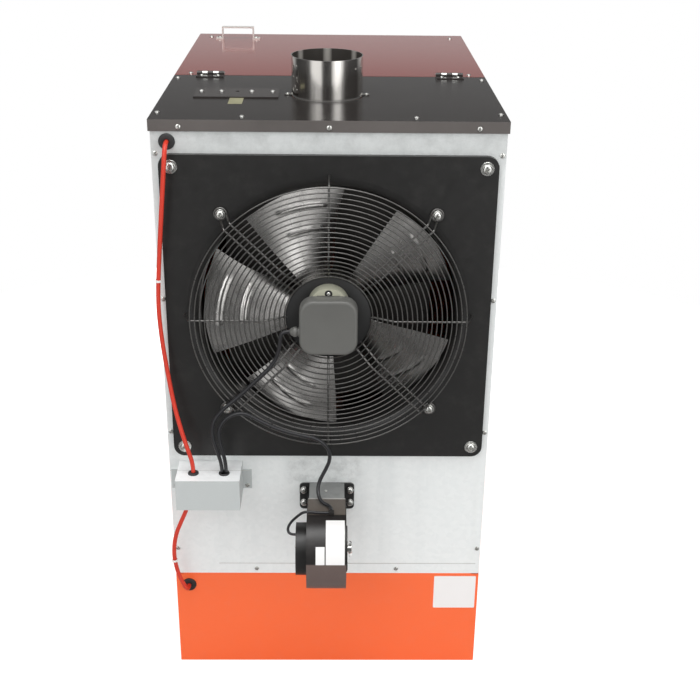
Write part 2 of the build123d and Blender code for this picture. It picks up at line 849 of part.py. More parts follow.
with BuildPart() as hinge_lid_leaves:
    for s in (-1, 1):
        hinge_knuckles(s * hinge_x, 1, 1, hinge_y + lid_gap / 2, lid_rear + hinge_leaf)
hinge_lid_leaves.part.label = "hinge_lid_leaves"
export_step(hinge_lid_leaves.part, "parts/hinge_lid_leaves.step")

with BuildPart() as hatch_plate:
    low_y = rear_y + hatch_from_rear
    block(
        (hatch_x - hatch_width / 2, low_y, body_height),
        (hatch_x + hatch_width / 2, low_y + hatch_depth, body_height + hatch_thick),
    )
    bore((hatch_x, hatch_screws[0][1], body_height), UP, hatch_hole_r, hatch_thick)
    screw_holes(hatch_screws, UP)
hatch_plate.part.label = "hatch_plate"
export_step(hatch_plate.part, "parts/hatch_plate.step")

# Flue spigot: a tube from the exchanger out through the top cover, thicker where the flue pipe slips
# over it, with two lugs on the cover
with BuildPart() as flue_spigot:
    rod((flue_x, flue_y, exchanger_high), UP, flue_r - flue_swell, flue_seat - exchanger_high)
    rod((flue_x, flue_y, flue_seat), UP, flue_r, flue_insertion)
    for s in (-1, 1):
        lug_low, lug_high = sorted((flue_x + s * (flue_r - flue_wall), flue_x + s * (flue_r + flue_lug)))
        block(
            (lug_low, flue_y - flue_lug_width / 2, body_height),
            (lug_high, flue_y + flue_lug_width / 2, body_height + sheet),
        )
    bore((flue_x, flue_y, exchanger_high), UP, flue_bore_r, flue_top - exchanger_high)
flue_spigot.part.label = "flue_spigot"
export_step(flue_spigot.part, "parts/flue_spigot.step")

# Heat exchanger: a welded box with a baffle between its inlet and the flue
with BuildPart() as heat_exchanger:
    half = exchanger_width / 2
    block((-half, exchanger_rear, exchanger_low), (half, exchanger_front, exchanger_high))
    block(
        (-half + exchanger_wall, exchanger_rear + exchanger_wall, exchanger_low + exchanger_wall),
        (half - exchanger_wall, exchanger_front - exchanger_wall, exchanger_high - exchanger_wall),
        Mode.SUBTRACT,
    )
    baffle_y = exchanger_front - exchanger_wall - fold
    block(
        (-half + exchanger_wall, baffle_y - exchanger_wall, exchanger_low + link_height),
        (half - exchanger_wall, baffle_y, exchanger_high - exchanger_wall),
    )
    block(
        (-link_width / 2, exchanger_front - exchanger_wall - overrun, link_low),
        (link_width / 2, exchanger_front + overrun, link_low + link_height),
        Mode.SUBTRACT,
    )
    bore((flue_x, flue_y, exchanger_high), DOWN, flue_bore_r, exchanger_wall)
heat_exchanger.part.label = "heat_exchanger"
export_step(heat_exchanger.part, "parts/heat_exchanger.step")

# Combustion chamber: a cylinder on a skirt, with the flue link, the air inlet and the fuel boss
duct_half = neck_width / 2
with BuildPart() as combustion_chamber:
    rod((0, chamber_y, chamber_low), UP, chamber_r, chamber_high - chamber_low)
    rod((0, chamber_y, deck_top), UP, skirt_r, chamber_low - deck_top)
    block(
        (-link_width / 2 - chamber_wall, exchanger_front, link_low - chamber_wall),
        (link_width / 2 + chamber_wall, chamber_y, link_low + link_height + chamber_wall),
    )
    block(
        (blower_x - duct_half, chamber_rear - link_flange, neck_low),
        (blower_x + duct_half, chamber_y, neck_high),
    )
    rod((chamber_r - chamber_wall, chamber_y, feed_z), RIGHT, feed_boss_r, feed_boss)
    rod((0, chamber_y, chamber_high - chamber_wall), UP, chamber_r + rim_width, chamber_wall)
    inner_r = chamber_r - chamber_wall
    rod((0, chamber_y, pot_floor), UP, inner_r, chamber_high - pot_floor + overrun, Mode.SUBTRACT)
    rod((0, chamber_y, deck_top - overrun), UP, skirt_r - chamber_wall,
        chamber_low - deck_top + overrun, Mode.SUBTRACT)
    block(
        (-link_width / 2, exchanger_front - overrun, link_low),
        (link_width / 2, chamber_y, link_low + link_height),
        Mode.SUBTRACT,
    )
    block(
        (blower_x - duct_half + blower_wall, chamber_rear - link_flange - overrun, neck_low + blower_wall),
        (blower_x + duct_half - blower_wall, chamber_y, neck_high - blower_wall),
        Mode.SUBTRACT,
    )
combustion_chamber.part.label = "combustion_chamber"
export_step(combustion_chamber.part, "parts/combustion_chamber.step")

# Chamber cover: a lift-off disc with a lip inside the rim and a bow handle
cover_top = chamber_high + cover_plate_thick
with BuildPart() as chamber_cover:
    rod((0, chamber_y, chamber_high), UP, chamber_r + rim_width, cover_plate_thick)
    lip_r = chamber_r - chamber_wall - 2 * fit_gap
    rod((0, chamber_y, chamber_high - cover_lip), UP, lip_r, cover_lip)
    rod((0, chamber_y, chamber_high - cover_lip - overrun), UP, lip_r - chamber_wall,
        cover_lip + overrun, Mode.SUBTRACT)
    half = cover_handle_width / 2
    for s in (-1, 1):
        rod((s * half, chamber_y, cover_top), UP, cover_handle_r, cover_handle_height)
    rod((-half - cover_handle_r, chamber_y, cover_top + cover_handle_height), RIGHT,
        cover_handle_r, 2 * (half + cover_handle_r))
chamber_cover.part.label = "chamber_cover"
export_step(chamber_cover.part, "parts/chamber_cover.step")

# Burner pot: a cast bowl on the chamber floor, and the holed ring on its rim
with BuildPart() as burner_pot:
    with BuildSketch(Plane(origin=(0, chamber_y, 0), x_dir=(1, 0, 0), z_dir=(0, -1, 0))):
        with BuildLine():
            low = pot_floor
            high = pot_floor + pot_height
            Polyline(
                (0, low),
                (pot_r / 2, low),
                (pot_r, high - pot_wall),
                (burner_ring_r + pot_wall, high - pot_wall),
                (burner_ring_r + pot_wall, high),
                (pot_r - pot_wall, high),
                (pot_r / 2 - pot_wall, low + pot_wall),
                (0, low + pot_wall),
                close=True,
            )
        make_face()
    revolve(axis=Axis((0, chamber_y, 0), (0, 0, 1)))
burner_pot.part.label = "burner_pot"
export_step(burner_pot.part, "parts/burner_pot.step")

ring_low = pot_floor + pot_height
with BuildPart() as burner_ring:
    rod((0, chamber_y, ring_low), UP, burner_ring_r, burner_ring_height)
    rod((0, chamber_y, ring_low - overrun), UP, burner_ring_r - burner_ring_wall,
        burner_ring_height + 2 * overrun, Mode.SUBTRACT)
    for i in range(burner_hole_count // 2):
        a = radians((i + 0.5) * 360 / burner_hole_count)
        across = (cos(a), sin(a), 0)
        z = ring_low + burner_ring_height * burner_row_shares[i % 2]
        start = (-burner_ring_r * cos(a), chamber_y - burner_ring_r * sin(a), z)
        bore(start, across, burner_hole_r, 2 * burner_ring_r)
burner_ring.part.label = "burner_ring"
export_step(burner_ring.part, "parts/burner_ring.step")

# Air duct from the rear panel to the chamber's inlet
with BuildPart() as burner_air_duct:
    duct_rear = rear_y + sheet
    duct_front = chamber_rear - link_flange
    block((blower_x - duct_half, duct_rear, neck_low), (blower_x + duct_half, duct_front, neck_high))
    block(
        (blower_x - duct_half + blower_wall, duct_rear - overrun, neck_low + blower_wall),
        (blower_x + duct_half - blower_wall, duct_front + overrun, neck_high - blower_wall),
        Mode.SUBTRACT,
    )
burner_air_duct.part.label = "burner_air_duct"
export_step(burner_air_duct.part, "parts/burner_air_duct.step")

# Fan plate: a square pressing with folded edges and a drawn bell mouth
fan_axis = Axis((0, 0, fan_z), (0, 1, 0))
plate_plane = Plane(origin=(0, plate_y, fan_z), x_dir=(1, 0, 0), z_dir=(0, 1, 0))
with BuildPart() as fan_plate:
    with BuildSketch(plate_plane):
        RectangleRounded(plate_size, plate_size, plate_corner_r)
    extrude(amount=plate_standoff)
    inner_size = plate_size - 2 * plate_sheet
    with BuildSketch(plate_plane.offset(plate_sheet)):
        RectangleRounded(inner_size, inner_size, plate_corner_r - plate_sheet)
    extrude(amount=plate_standoff, mode=Mode.SUBTRACT)
    bore((0, plate_y, fan_z), FRONT, mouth_r, plate_sheet)
    with BuildSketch(fan_plane(0)):
        with BuildLine():
            CenterArc((mouth_r, mouth_y), mouth_curve_r, 180, 90)
            Line((mouth_r, plate_y), (mouth_r, plate_y + plate_sheet))
            CenterArc((mouth_r, mouth_y), mouth_curve_r - plate_sheet, 180, 90)
            Polyline(
                (throat_r + plate_sheet, mouth_y),
                (throat_r + plate_sheet, nozzle_end),
                (throat_r, nozzle_end),
                (throat_r, mouth_y),
            )
        make_face()
    revolve(axis=fan_axis)
    for x, y, z in plate_bolts:
        bore((x, y, z), FRONT, bolt_r + hole_clearance, plate_sheet)
    for x, y, z in guard_bolts:
        bore((x, plate_y, z), FRONT, bolt_r + hole_clearance, plate_sheet)
fan_plate.part.label = "fan_plate"
export_step(fan_plate.part, "parts/fan_plate.step")


guard_lean = guard_dip - guard_hub_plate / 2


def guard_depth(r):
    """The guard's distance forward of its flat front at a radius: it dips in towards the motor."""
    dip = max(0, (guard_dip_r - r) / (guard_dip_r - guard_inner_r))
    return guard_lean * dip


def ring_centre_y(r):
    """A guard ring's centre at a radius: it lies on the spokes, also where they lean."""
    slope = atan2(guard_lean, guard_dip_r - guard_inner_r)
    lean = cos(slope) if r < guard_dip_r else 1
    return guard_y + guard_depth(r) - (guard_spoke_r + guard_wire_r + guard_ring_gap) / lean


def spoke(angle, aside, end_r):
    """One guard spoke: out over the rings, then back to the plate."""
    a = radians(angle)
    shift = (-aside * sin(a), 0, aside * cos(a))
    plane = Plane(
        origin=(shift[0], 0, fan_z + shift[2]),
        x_dir=(cos(a), 0, sin(a)),
        z_dir=(-sin(a), 0, cos(a)),
    )
    start_y = guard_hub_y - guard_hub_plate / 2
    with BuildLine(plane) as path:
        FilletPolyline(
            (guard_inner_r - guard_spoke_r * 3, start_y),
            (guard_inner_r, start_y),
            (guard_dip_r, guard_y),
            (guard_outer_r + guard_spoke_r, guard_y),
            (end_r, plate_y - guard_spoke_r * 3),
            (end_r, plate_y),
            radius=guard_spoke_r * 2,
        )
    with BuildSketch(Plane(origin=path.line @ 0, z_dir=path.line % 0)) as wire:
        Circle(guard_spoke_r)
    sweep(wire.sketch, path=path.line)


with BuildPart() as guard_cage:
    for quarter in range(4):
        spoke(quarter * 90, 0, guard_leg_r)
        for side in (-1, 1):
            spoke(quarter * 90 + 45, side * guard_pair_gap / 2, guard_leg_r)
    rod((0, guard_hub_front, fan_z), FRONT, guard_inner_r - guard_spoke_r, guard_hub_plate)
    bore((0, guard_hub_front, fan_z), FRONT, stator_r + fit_gap, guard_hub_plate)
    for x, y, z in guard_bolts:
        rod((x, y, z), FRONT, guard_eye_r, plate_sheet)
        bore((x, y, z), FRONT, bolt_r + hole_clearance, plate_sheet)
with BuildPart() as guard_rings:
    with BuildSketch(fan_plane(guard_seam_angle)):
        for i in range(guard_ring_count):
            r = guard_inner_r + i * guard_pitch
            with Locations((r, ring_centre_y(r))):
                Circle(guard_wire_r)
    revolve(axis=fan_axis)
with BuildPart() as fan_guard:
    add(guard_cage.part)
    add(guard_rings.part)
fan_guard.part.label = "fan_guard"
export_step(fan_guard.part, "parts/fan_guard.step")

# Fan motor: the stator flange on the guard's hub plate, its terminal cover, and the outer rotor
stator_end = rotor_end - rotor_wall - rotor_gap
with BuildPart() as fan_motor_flange:
    rod((0, flange_front, fan_z), FRONT, flange_r, flange_depth)
    rod((0, flange_front, fan_z + flange_lug_rise), FRONT, flange_lug_r, flange_depth)
    rod((0, guard_hub_front, fan_z), FRONT, stator_r, stator_end - guard_hub_front)
    bore((0, flange_front, fan_z), FRONT, shaft_r + running_clearance, stator_end - flange_front)
fan_motor_flange.part.label = "fan_motor_flange"
export_step(fan_motor_flange.part, "parts/fan_motor_flange.step")

cover_mid_y = (cover_front + flange_front) / 2
gland_z = fan_z - gland_drop
with BuildPart() as fan_terminal_cover:
    with BuildSketch(Plane(origin=(0, cover_front, fan_z), x_dir=(1, 0, 0), z_dir=(0, 1, 0))):
        RectangleRounded(cover_size, cover_size, cover_corner_r)
    extrude(amount=cover_depth)
    rod((-cover_size / 2 - gland_length, cover_mid_y, gland_z), RIGHT, gland_r, gland_length + overrun)
fan_terminal_cover.part.label = "fan_terminal_cover"
export_step(fan_terminal_cover.part, "parts/fan_terminal_cover.step")

with BuildPart() as fan_rotor:
    rod((0, rotor_start, fan_z), FRONT, rotor_r, rotor_length)
    rod((0, rotor_start - overrun, fan_z), FRONT, rotor_r - rotor_wall,
        rotor_length - rotor_wall + overrun, Mode.SUBTRACT)
    rod((0, flange_front + rotor_gap, fan_z), FRONT, shaft_r, rotor_end - flange_front - rotor_gap)
fan_rotor.part.label = "fan_rotor"
export_step(fan_rotor.part, "parts/fan_rotor.step")


def blade_section(angle, r, chord, pitch):
    """One cross-section of a fan blade, square to the radius."""
    a = radians(angle)
    plane = Plane(
        origin=(r * cos(a), blade_y, fan_z + r * sin(a)),
        x_dir=(-sin(a), 0, cos(a)),
        z_dir=(cos(a), 0, sin(a)),
    )
    with BuildSketch(plane) as section:
        Rectangle(chord, blade_sheet, rotation=pitch)
    return section.sketch


hub_ring_r = rotor_r + hub_fit
hub_ring_low = blade_y - blade_root_chord / 2 * sin(radians(blade_root_pitch))
with BuildPart() as fan_impeller:
    for i in range(blade_count):
        angle = blade_first_angle + i * 360 / blade_count
        root_r = hub_ring_r + hub_ring_wall / 3
        middle_r = (root_r + throat_r) / 2
        sections = [
            blade_section(angle, root_r, blade_root_chord, blade_root_pitch),
            blade_section(angle, middle_r, blade_mid_chord, blade_mid_pitch),
            blade_section(angle, throat_r, blade_tip_chord, blade_tip_pitch),
        ]
        loft(sections)
    rod((0, plate_y, fan_z), FRONT, blade_r, nozzle_depth, Mode.INTERSECT)
    rod((0, hub_ring_low, fan_z), FRONT, hub_ring_r + hub_ring_wall, rotor_end - hub_ring_low + blade_sheet)
    hub_bore_depth = rotor_end - hub_ring_low + overrun
    rod((0, hub_ring_low - overrun, fan_z), FRONT, hub_ring_r, hub_bore_depth, Mode.SUBTRACT)
    bore((0, rotor_end, fan_z), FRONT, rotor_r / 2, blade_sheet)
fan_impeller.part.label = "fan_impeller"
export_step(fan_impeller.part, "parts/fan_impeller.step")

# Blower: flange and neck, scroll, wheel, motor and air shutter
with BuildPart() as blower_flange:
    with BuildSketch(Plane(origin=(blower_x, blower_flange_y, neck_z), x_dir=(1, 0, 0), z_dir=(0, 1, 0))):
        RectangleRounded(blower_flange_width, blower_flange_height, blower_flange_corner_r)
    extrude(amount=blower_flange_sheet)
    block((blower_x - duct_half, neck_end, neck_low), (blower_x + duct_half, blower_flange_y, neck_high))
    block(
        (blower_x - duct_half + blower_wall, neck_end - overrun, neck_low + blower_wall),
        (blower_x + duct_half - blower_wall, rear_y + overrun, neck_high - blower_wall),
        Mode.SUBTRACT,
    )
    for x, y, z in blower_bolts:
        bore((x, y, z), FRONT, bolt_r + hole_clearance, blower_flange_sheet)
blower_flange.part.label = "blower_flange"
export_step(blower_flange.part, "parts/blower_flange.step")


def scroll_outline(x, wall, width, mode):
    """The scroll's side view, set in by a wall, drawn out to a width from x."""
    plane = Plane(origin=(x, 0, 0), x_dir=(0, 1, 0), z_dir=(1, 0, 0))
    with BuildSketch(plane) as outline:
        with Locations((scroll_y, scroll_z)):
            Circle(scroll_r - wall)
        outlet_length = neck_end - wall - scroll_y
        outlet_height = neck_high - neck_low - 2 * wall
        with Locations((scroll_y + outlet_length / 2, neck_z)):
            Rectangle(outlet_length, outlet_height)
    extrude(outline.sketch, amount=width, mode=mode)


wheel_x = scroll_left + (scroll_width - wheel_width) / 2
clip_x = blower_x + lead_clip - blower_wall
clip_y = rear_y - lead_clip_out
with BuildPart() as blower_scroll:
    scroll_outline(scroll_left, 0, scroll_width, Mode.ADD)
    scroll_outline(scroll_left + blower_wall, blower_wall, scroll_width - 2 * blower_wall, Mode.SUBTRACT)
    block(
        (blower_x - duct_half + blower_wall, neck_end - 2 * blower_wall, neck_low + blower_wall),
        (blower_x + duct_half - blower_wall, neck_end + overrun, neck_high - blower_wall),
        Mode.SUBTRACT,
    )
    block((scroll_left, neck_end, neck_low), (scroll_right, scroll_y + scroll_r, neck_high), Mode.SUBTRACT)
    rod((scroll_right - 2 * blower_wall, scroll_y, scroll_z), RIGHT, inlet_r, overrun, Mode.SUBTRACT)
    inlet_x = scroll_right - blower_wall
    block(
        (inlet_x, scroll_y - inlet_r, scroll_z - guard_bar / 2),
        (scroll_right, scroll_y + inlet_r, scroll_z + guard_bar / 2),
    )
    block(
        (inlet_x, scroll_y - guard_bar / 2, scroll_z - inlet_r),
        (scroll_right, scroll_y + guard_bar / 2, scroll_z + inlet_r),
    )
    rod((inlet_x, scroll_y, scroll_z), RIGHT, guard_bar, blower_wall + shutter_thick + guard_bar)
    bore((scroll_left, scroll_y, scroll_z), RIGHT, blower_shaft_r + guard_bar, blower_wall - overrun)
    block(
        (clip_x - lead_clip / 2, clip_y - lead_clip / 2, neck_high - blower_wall),
        (clip_x + lead_clip / 2, clip_y + lead_clip / 2, neck_high + lead_clip_height),
    )
blower_scroll.part.label = "blower_scroll"
export_step(blower_scroll.part, "parts/blower_scroll.step")

motor_left = scroll_left - blower_motor_length
with BuildPart() as blower_impeller:
    rod((wheel_x, scroll_y, scroll_z), RIGHT, wheel_r, blower_wall)
    rod((wheel_x + wheel_width - blower_wall, scroll_y, scroll_z), RIGHT, wheel_r, blower_wall)
    wheel_eye_r = wheel_r - wheel_blade_depth
    rod((wheel_x + blower_wall, scroll_y, scroll_z), RIGHT, wheel_eye_r, wheel_width, Mode.SUBTRACT)
    with BuildSketch(Plane(origin=(wheel_x, scroll_y, scroll_z), x_dir=(0, 1, 0), z_dir=(1, 0, 0))):
        with PolarLocations(wheel_r - wheel_blade_depth / 2, wheel_blade_count):
            Rectangle(wheel_blade_depth - blower_wall / 2, blower_wall, rotation=blade_first_angle)
    extrude(amount=wheel_width)
    rod((motor_left + blower_wall, scroll_y, scroll_z), RIGHT, blower_shaft_r, wheel_x - motor_left)
blower_impeller.part.label = "blower_impeller"
export_step(blower_impeller.part, "parts/blower_impeller.step")

with BuildPart() as blower_motor:
    rod((motor_left, scroll_y, scroll_z), RIGHT, blower_motor_r, blower_motor_length)
    rod((motor_left + blower_wall, scroll_y, scroll_z), RIGHT, blower_shaft_r + running_clearance,
        blower_motor_length + overrun, Mode.SUBTRACT)
blower_motor.part.label = "blower_motor"
export_step(blower_motor.part, "parts/blower_motor.step")

with BuildPart() as blower_shutter:
    shutter_face = (scroll_right + fit_gap, scroll_y, scroll_z)
    with BuildSketch(Plane(origin=shutter_face, x_dir=(0, 1, 0), z_dir=(1, 0, 0))):
        Circle(shutter_r)
        a = radians(180 - lever_angle)
        lever_at = shutter_r + lever_length / 2 - lever_width / 2
        with Locations((lever_at * cos(a), -lever_at * sin(a))):
            SlotOverall(lever_length + lever_width, lever_width, rotation=180 + lever_angle)
        with PolarLocations(shutter_window_at, shutter_window_count, start_angle=45):
            Circle(shutter_window_r, mode=Mode.SUBTRACT)
        Circle(guard_bar + running_clearance, mode=Mode.SUBTRACT)
    extrude(amount=shutter_thick)
blower_shutter.part.label = "blower_shutter"
export_step(blower_shutter.part, "parts/blower_shutter.step")

# Junction box: a folded cover on the rear panel, with a terminal strip inside
box_front = rear_y - box_depth
with BuildPart() as junction_box:
    half = box_width / 2
    block((box_x - half, box_front, box_low), (box_x + half, rear_y, box_high))
    block(
        (box_x - half - ear_width, rear_y - box_sheet, ear_low + overrun),
        (box_x + half + ear_width, rear_y, ear_high),
    )
    block(
        (box_x - half + box_sheet, box_front + box_sheet, box_low + box_sheet),
        (box_x + half - box_sheet, rear_y + overrun, box_high - box_sheet),
        Mode.SUBTRACT,
    )
    for x in (box_grommet_left, box_grommet_right):
        bore((x, box_grommet_y, box_high), DOWN, box_grommet_r * grommet_neck_share, box_sheet)
    screw_holes(ear_screws, REAR)
junction_box.part.label = "junction_box"
export_step(junction_box.part, "parts/junction_box.step")

with BuildPart() as terminal_strip:
    strip_z = (box_low + box_high) / 2
    block(
        (box_x - strip_width / 2, rear_y - strip_depth, strip_z - strip_height / 2),
        (box_x + strip_width / 2, rear_y, strip_z + strip_height / 2),
    )
terminal_strip.part.label = "terminal_strip"
export_step(terminal_strip.part, "parts/terminal_strip.step")


def grommet(place, outward, radius, thickness):
    """A rubber grommet: a lip each side of the sheet and a neck through it."""
    inward = tuple(-a for a in outward)
    behind = tuple(p + thickness * a for p, a in zip(place, inward))
    rod(place, outward, radius, grommet_lip)
    rod(place, inward, radius * grommet_neck_share, thickness)
    rod(behind, inward, radius, grommet_lip)


with BuildPart() as cable_grommets:
    grommet((grommet_upper_x, rear_y, grommet_upper_z), REAR, grommet_r, sheet)
    grommet((grommet_base_x, rear_y, grommet_base_z), REAR, grommet_r, sheet)
    grommet((box_grommet_left, box_grommet_y, box_high), UP, box_grommet_r, box_sheet)
    grommet((box_grommet_right, box_grommet_y, box_high), UP, box_grommet_r, box_sheet)
cable_grommets.part.label = "cable_grommets"
export_step(cable_grommets.part, "parts/cable_grommets.step")

# Cord routes: hand-set points, each run of them measured from an exit, a grommet or a clip
under_exit_out = 45.0
under_exit_inset = 36.0
upper_exit = rear_y - grommet_lip
box_exit = box_high + grommet_lip
upper_grommet = (grommet_upper_x, upper_exit, grommet_upper_z)
base_grommet = (grommet_base_x, upper_exit, grommet_base_z)
box_left = (box_grommet_left, box_grommet_y, box_exit)
box_right = (box_grommet_right, box_grommet_y, box_exit)
box_under = (under_exit_inset - side_x, rear_y - under_exit_out, box_low)
gland = (-cover_size / 2 - gland_length, cover_mid_y, gland_z)
clip = (clip_x, clip_y, neck_high)
motor_entry = (motor_left, scroll_y, scroll_z)


def route_from(place, steps):
    """Points given by their distances from a place."""
    return [tuple(p + d for p, d in zip(place, step)) for step in steps]


red_upper_route = route_from(upper_grommet, [
    (0, 0, 0),
    (0, -14.5, 0),
    (-0.4, -25.5, -11),
    (-1.9, -29.5, -29),
    (-4.9, -30.5, -60),
    (-10.4, -29.5, -112),
    (-19.4, -26.5, -197),
    (-26.4, -25.5, -280),
])
red_upper_route += route_from(box_left, [
    (-47, 21, 260.5),
    (-39.5, 19, 193.5),
    (-31, 14, 133.5),
    (-19, 8, 80.5),
    (-7, 2, 40.5),
    (0, 0, 17.5),
    (0, 0, 0),
])
red_lower_route = route_from(box_under, [
    (0, 0, 0),
    (0, 0, -15),
    (-11, 3, -42),
    (-27, 8, -82),
])
red_lower_route += route_from(base_grommet, [
    (-22.2, -29.5, 96.4),
    (-19.2, -27.5, 61.4),
    (-11.2, -26.5, 31.4),
    (-3.2, -22.5, 10.4),
    (0, -13.5, 0.4),
    (0, 0, 0.4),
])
fan_cable_route = route_from(box_right, [
    (-3.8, 0, 0),
    (-3.8, 0, 14.5),
    (-11, -2.5, 45.5),
    (-20, -2.5, 77.5),
    (-16, -3.5, 108.5),
    (4, -3.5, 133.5),
    (32, -3.5, 157.5),
    (66, -3.5, 192.5),
])
fan_cable_route += route_from(gland, [
    (-29, 7, -65),
    (-19, 2, -35),
    (-17, 0, -9),
    (-12, 0, 0),
    (0, 0, 0),
])
blower_cable_route = route_from(box_right, [
    (3.8, 0, 0),
    (3.8, 0, 14.5),
    (-1, -2.5, 45.5),
    (-8, -2.5, 73.5),
    (-4, -3.5, 99.5),
    (14, -3.5, 119.5),
    (40, -3.5, 125.5),
    (70, -2.5, 107.5),
    (106, -2.5, 88.5),
    (144, -2.5, 78.5),
])
blower_cable_route += route_from(clip, [
    (-22.5, 61.5, 122),
    (-4.5, 61.5, 102),
    (-2.5, 64, 77),
    (-12.5, 65, 53),
    (-23.5, 61.5, 32),
    (-25.5, 51, 15),
    (-18.5, 32, 6),
    (0, 21, 4.5),
    (0, 5, 4.5),
])
blower_lead_route = route_from(clip, [
    (-5, 0, 4),
    (-21.5, 0, 4),
    (-48.5, 3, 5),
    (-61.5, 8, -8),
    (-74.5, 10, -23),
    (-80.5, 7, -35),
    (-76.5, 0, -43),
])
blower_lead_route += route_from(motor_entry, [
    (0, 2, 29),
])


def cord_body(title, route, radius):
    """A cord's tube: straight runs joined by tangent arcs as large as the runs allow."""
    points = [Vector(*p) for p in route]
    radii = []
    for a, b, c in zip(points, points[1:], points[2:]):
        turn = radians((b - a).get_angle(c - b))
        shorter = min((b - a).length, (c - b).length)
        radii.append(cord_bend_share * shorter / tan(turn / 2))
    with BuildLine() as path:
        FilletPolyline(*points, radius=radii)
    with BuildSketch(Plane(origin=path.line @ 0, z_dir=path.line % 0)) as section:
        Circle(radius)
    sweep(section.sketch, path=path.line)
    length = path.wire().length
    expected = section.sketch.area * length
    print(title, "radii over diameter", [round(r / (2 * radius), 1) for r in radii])
    print(title, "length", round(length, 1), "expected volume", round(expected))
    return expected


with BuildPart() as red_cable_upper:
    expected = cord_body("red cable, upper", red_upper_route, red_cord_r)
print("volume share", round(red_cable_upper.part.volume / expected, 4))
red_cable_upper.part.label = "red_cable_upper"
export_step(red_cable_upper.part, "parts/red_cable_upper.step")

with BuildPart() as red_cable_lower:
    expected = cord_body("red cable, lower", red_lower_route, red_cord_r)
print("volume share", round(red_cable_lower.part.volume / expected, 4))
red_cable_lower.part.label = "red_cable_lower"
export_step(red_cable_lower.part, "parts/red_cable_lower.step")

with BuildPart() as fan_cable:
    expected = cord_body("fan cable", fan_cable_route, black_cord_r)
print("volume share", round(fan_cable.part.volume / expected, 4))
fan_cable.part.label = "fan_cable"
export_step(fan_cable.part, "parts/fan_cable.step")

with BuildPart() as blower_cable:
    expected = cord_body("blower cable", blower_cable_route, black_cord_r)
print("volume share", round(blower_cable.part.volume / expected, 4))
blower_cable.part.label = "blower_cable"
export_step(blower_cable.part, "parts/blower_cable.step")

with BuildPart() as blower_lead:
    expected = cord_body("blower lead", blower_lead_route, lead_cord_r)
print("volume share", round(blower_lead.part.volume / expected, 4))
blower_lead.part.label = "blower_lead"
export_step(blower_lead.part, "parts/blower_lead.step")


def tie(route, run, radius):
    """A cable tie round the middle of one run of a cord."""
    a = Vector(*route[run])
    b = Vector(*route[run + 1])
    along = (b - a).normalized()
    start = (a + b) / 2 - along * (tie_width / 2)
    rod(tuple(start), tuple(along), radius + tie_clearance + tie_wall, tie_width)
    before = start - along * overrun
    rod(tuple(before), tuple(along), radius + tie_clearance, tie_width + 2 * overrun, Mode.SUBTRACT)


with BuildPart() as cable_ties:
    tie(red_upper_route, 6, red_cord_r)
    tie(red_lower_route, 4, red_cord_r)
    for run in (6, 7, 9):
        tie(blower_cable_route, run, black_cord_r)
cable_ties.part.label = "cable_ties"
export_step(cable_ties.part, "parts/cable_ties.step")

# Control box behind the lower front panel, with its switch, knob and button
control_face = front_y + control_sheet
rocker_x = control_x - control_spacing
button_x = control_x + control_spacing
rocker_y = front_y - rocker_depth / 2
face_width = rocker_width + 2 * rocker_gap
face_height = rocker_height + 2 * rocker_gap
lug = rocker_gap + rocker_pin_r
with BuildPart() as control_box:
    block(
        (control_x - control_width / 2, front_y, control_z - control_height / 2),
        (control_x + control_width / 2, control_face, control_z + control_height / 2),
    )
    box_half_x = control_half_x - outlet_fit
    box_half_z = control_half_z - outlet_fit
    block(
        (control_x - box_half_x, front_y - control_depth, control_z - box_half_z),
        (control_x + box_half_x, front_y, control_z + box_half_z),
    )
    block(
        (control_x - box_half_x + control_sheet, front_y - control_depth + control_sheet,
         control_z - box_half_z + control_sheet),
        (control_x + box_half_x - control_sheet, front_y, control_z + box_half_z - control_sheet),
        Mode.SUBTRACT,
    )
    for s in (-1, 1):
        lug_low, lug_high = sorted((rocker_x + s * face_width / 2, rocker_x + s * (face_width / 2 + lug)))
        block(
            (lug_low, rocker_y - rocker_pin_r - lug, control_z - rocker_pin_r - lug),
            (lug_high, front_y, control_z + rocker_pin_r + lug),
        )
    bore((rocker_x - face_width / 2 - lug, rocker_y, control_z), RIGHT, rocker_pin_r + running_clearance,
         face_width + 2 * lug)
    block(
        (rocker_x - face_width / 2, front_y - overrun, control_z - face_height / 2),
        (rocker_x + face_width / 2, control_face + overrun, control_z + face_height / 2),
        Mode.SUBTRACT,
    )
    bore((control_x, front_y, control_z), FRONT, knob_shaft_r + running_clearance, control_sheet)
    collar_depth = button_depth / 2
    rod((button_x, front_y - collar_depth, control_z), FRONT, button_r + control_sheet, collar_depth)
    bore((button_x, front_y - button_depth / 2, control_z), FRONT, button_r + running_clearance,
         button_depth / 2 + control_sheet)
control_box.part.label = "control_box"
export_step(control_box.part, "parts/control_box.step")

with BuildPart() as power_switch:
    block(
        (rocker_x - rocker_width / 2, rocker_y - rocker_depth / 2, control_z - rocker_height / 2),
        (rocker_x + rocker_width / 2, control_face + rocker_proud, control_z + rocker_height / 2),
    )
    pin_half = face_width / 2 + lug
    rod((rocker_x - pin_half, rocker_y, control_z), RIGHT, rocker_pin_r, 2 * pin_half)
power_switch.part.label = "power_switch"
export_step(power_switch.part, "parts/power_switch.step")

with BuildPart() as thermostat_knob:
    rod((control_x, control_face + fit_gap, control_z), FRONT, knob_r, knob_depth)
    shaft_length = knob_depth + control_sheet + fit_gap
    rod((control_x, front_y - knob_depth, control_z), FRONT, knob_shaft_r, shaft_length)
    block(
        (control_x - knob_shaft_r / 2, control_face + fit_gap + knob_depth, control_z),
        (control_x + knob_shaft_r / 2, control_face + fit_gap + knob_depth + outlet_fit, control_z + knob_r),
    )
thermostat_knob.part.label = "thermostat_knob"
export_step(thermostat_knob.part, "parts/thermostat_knob.step")

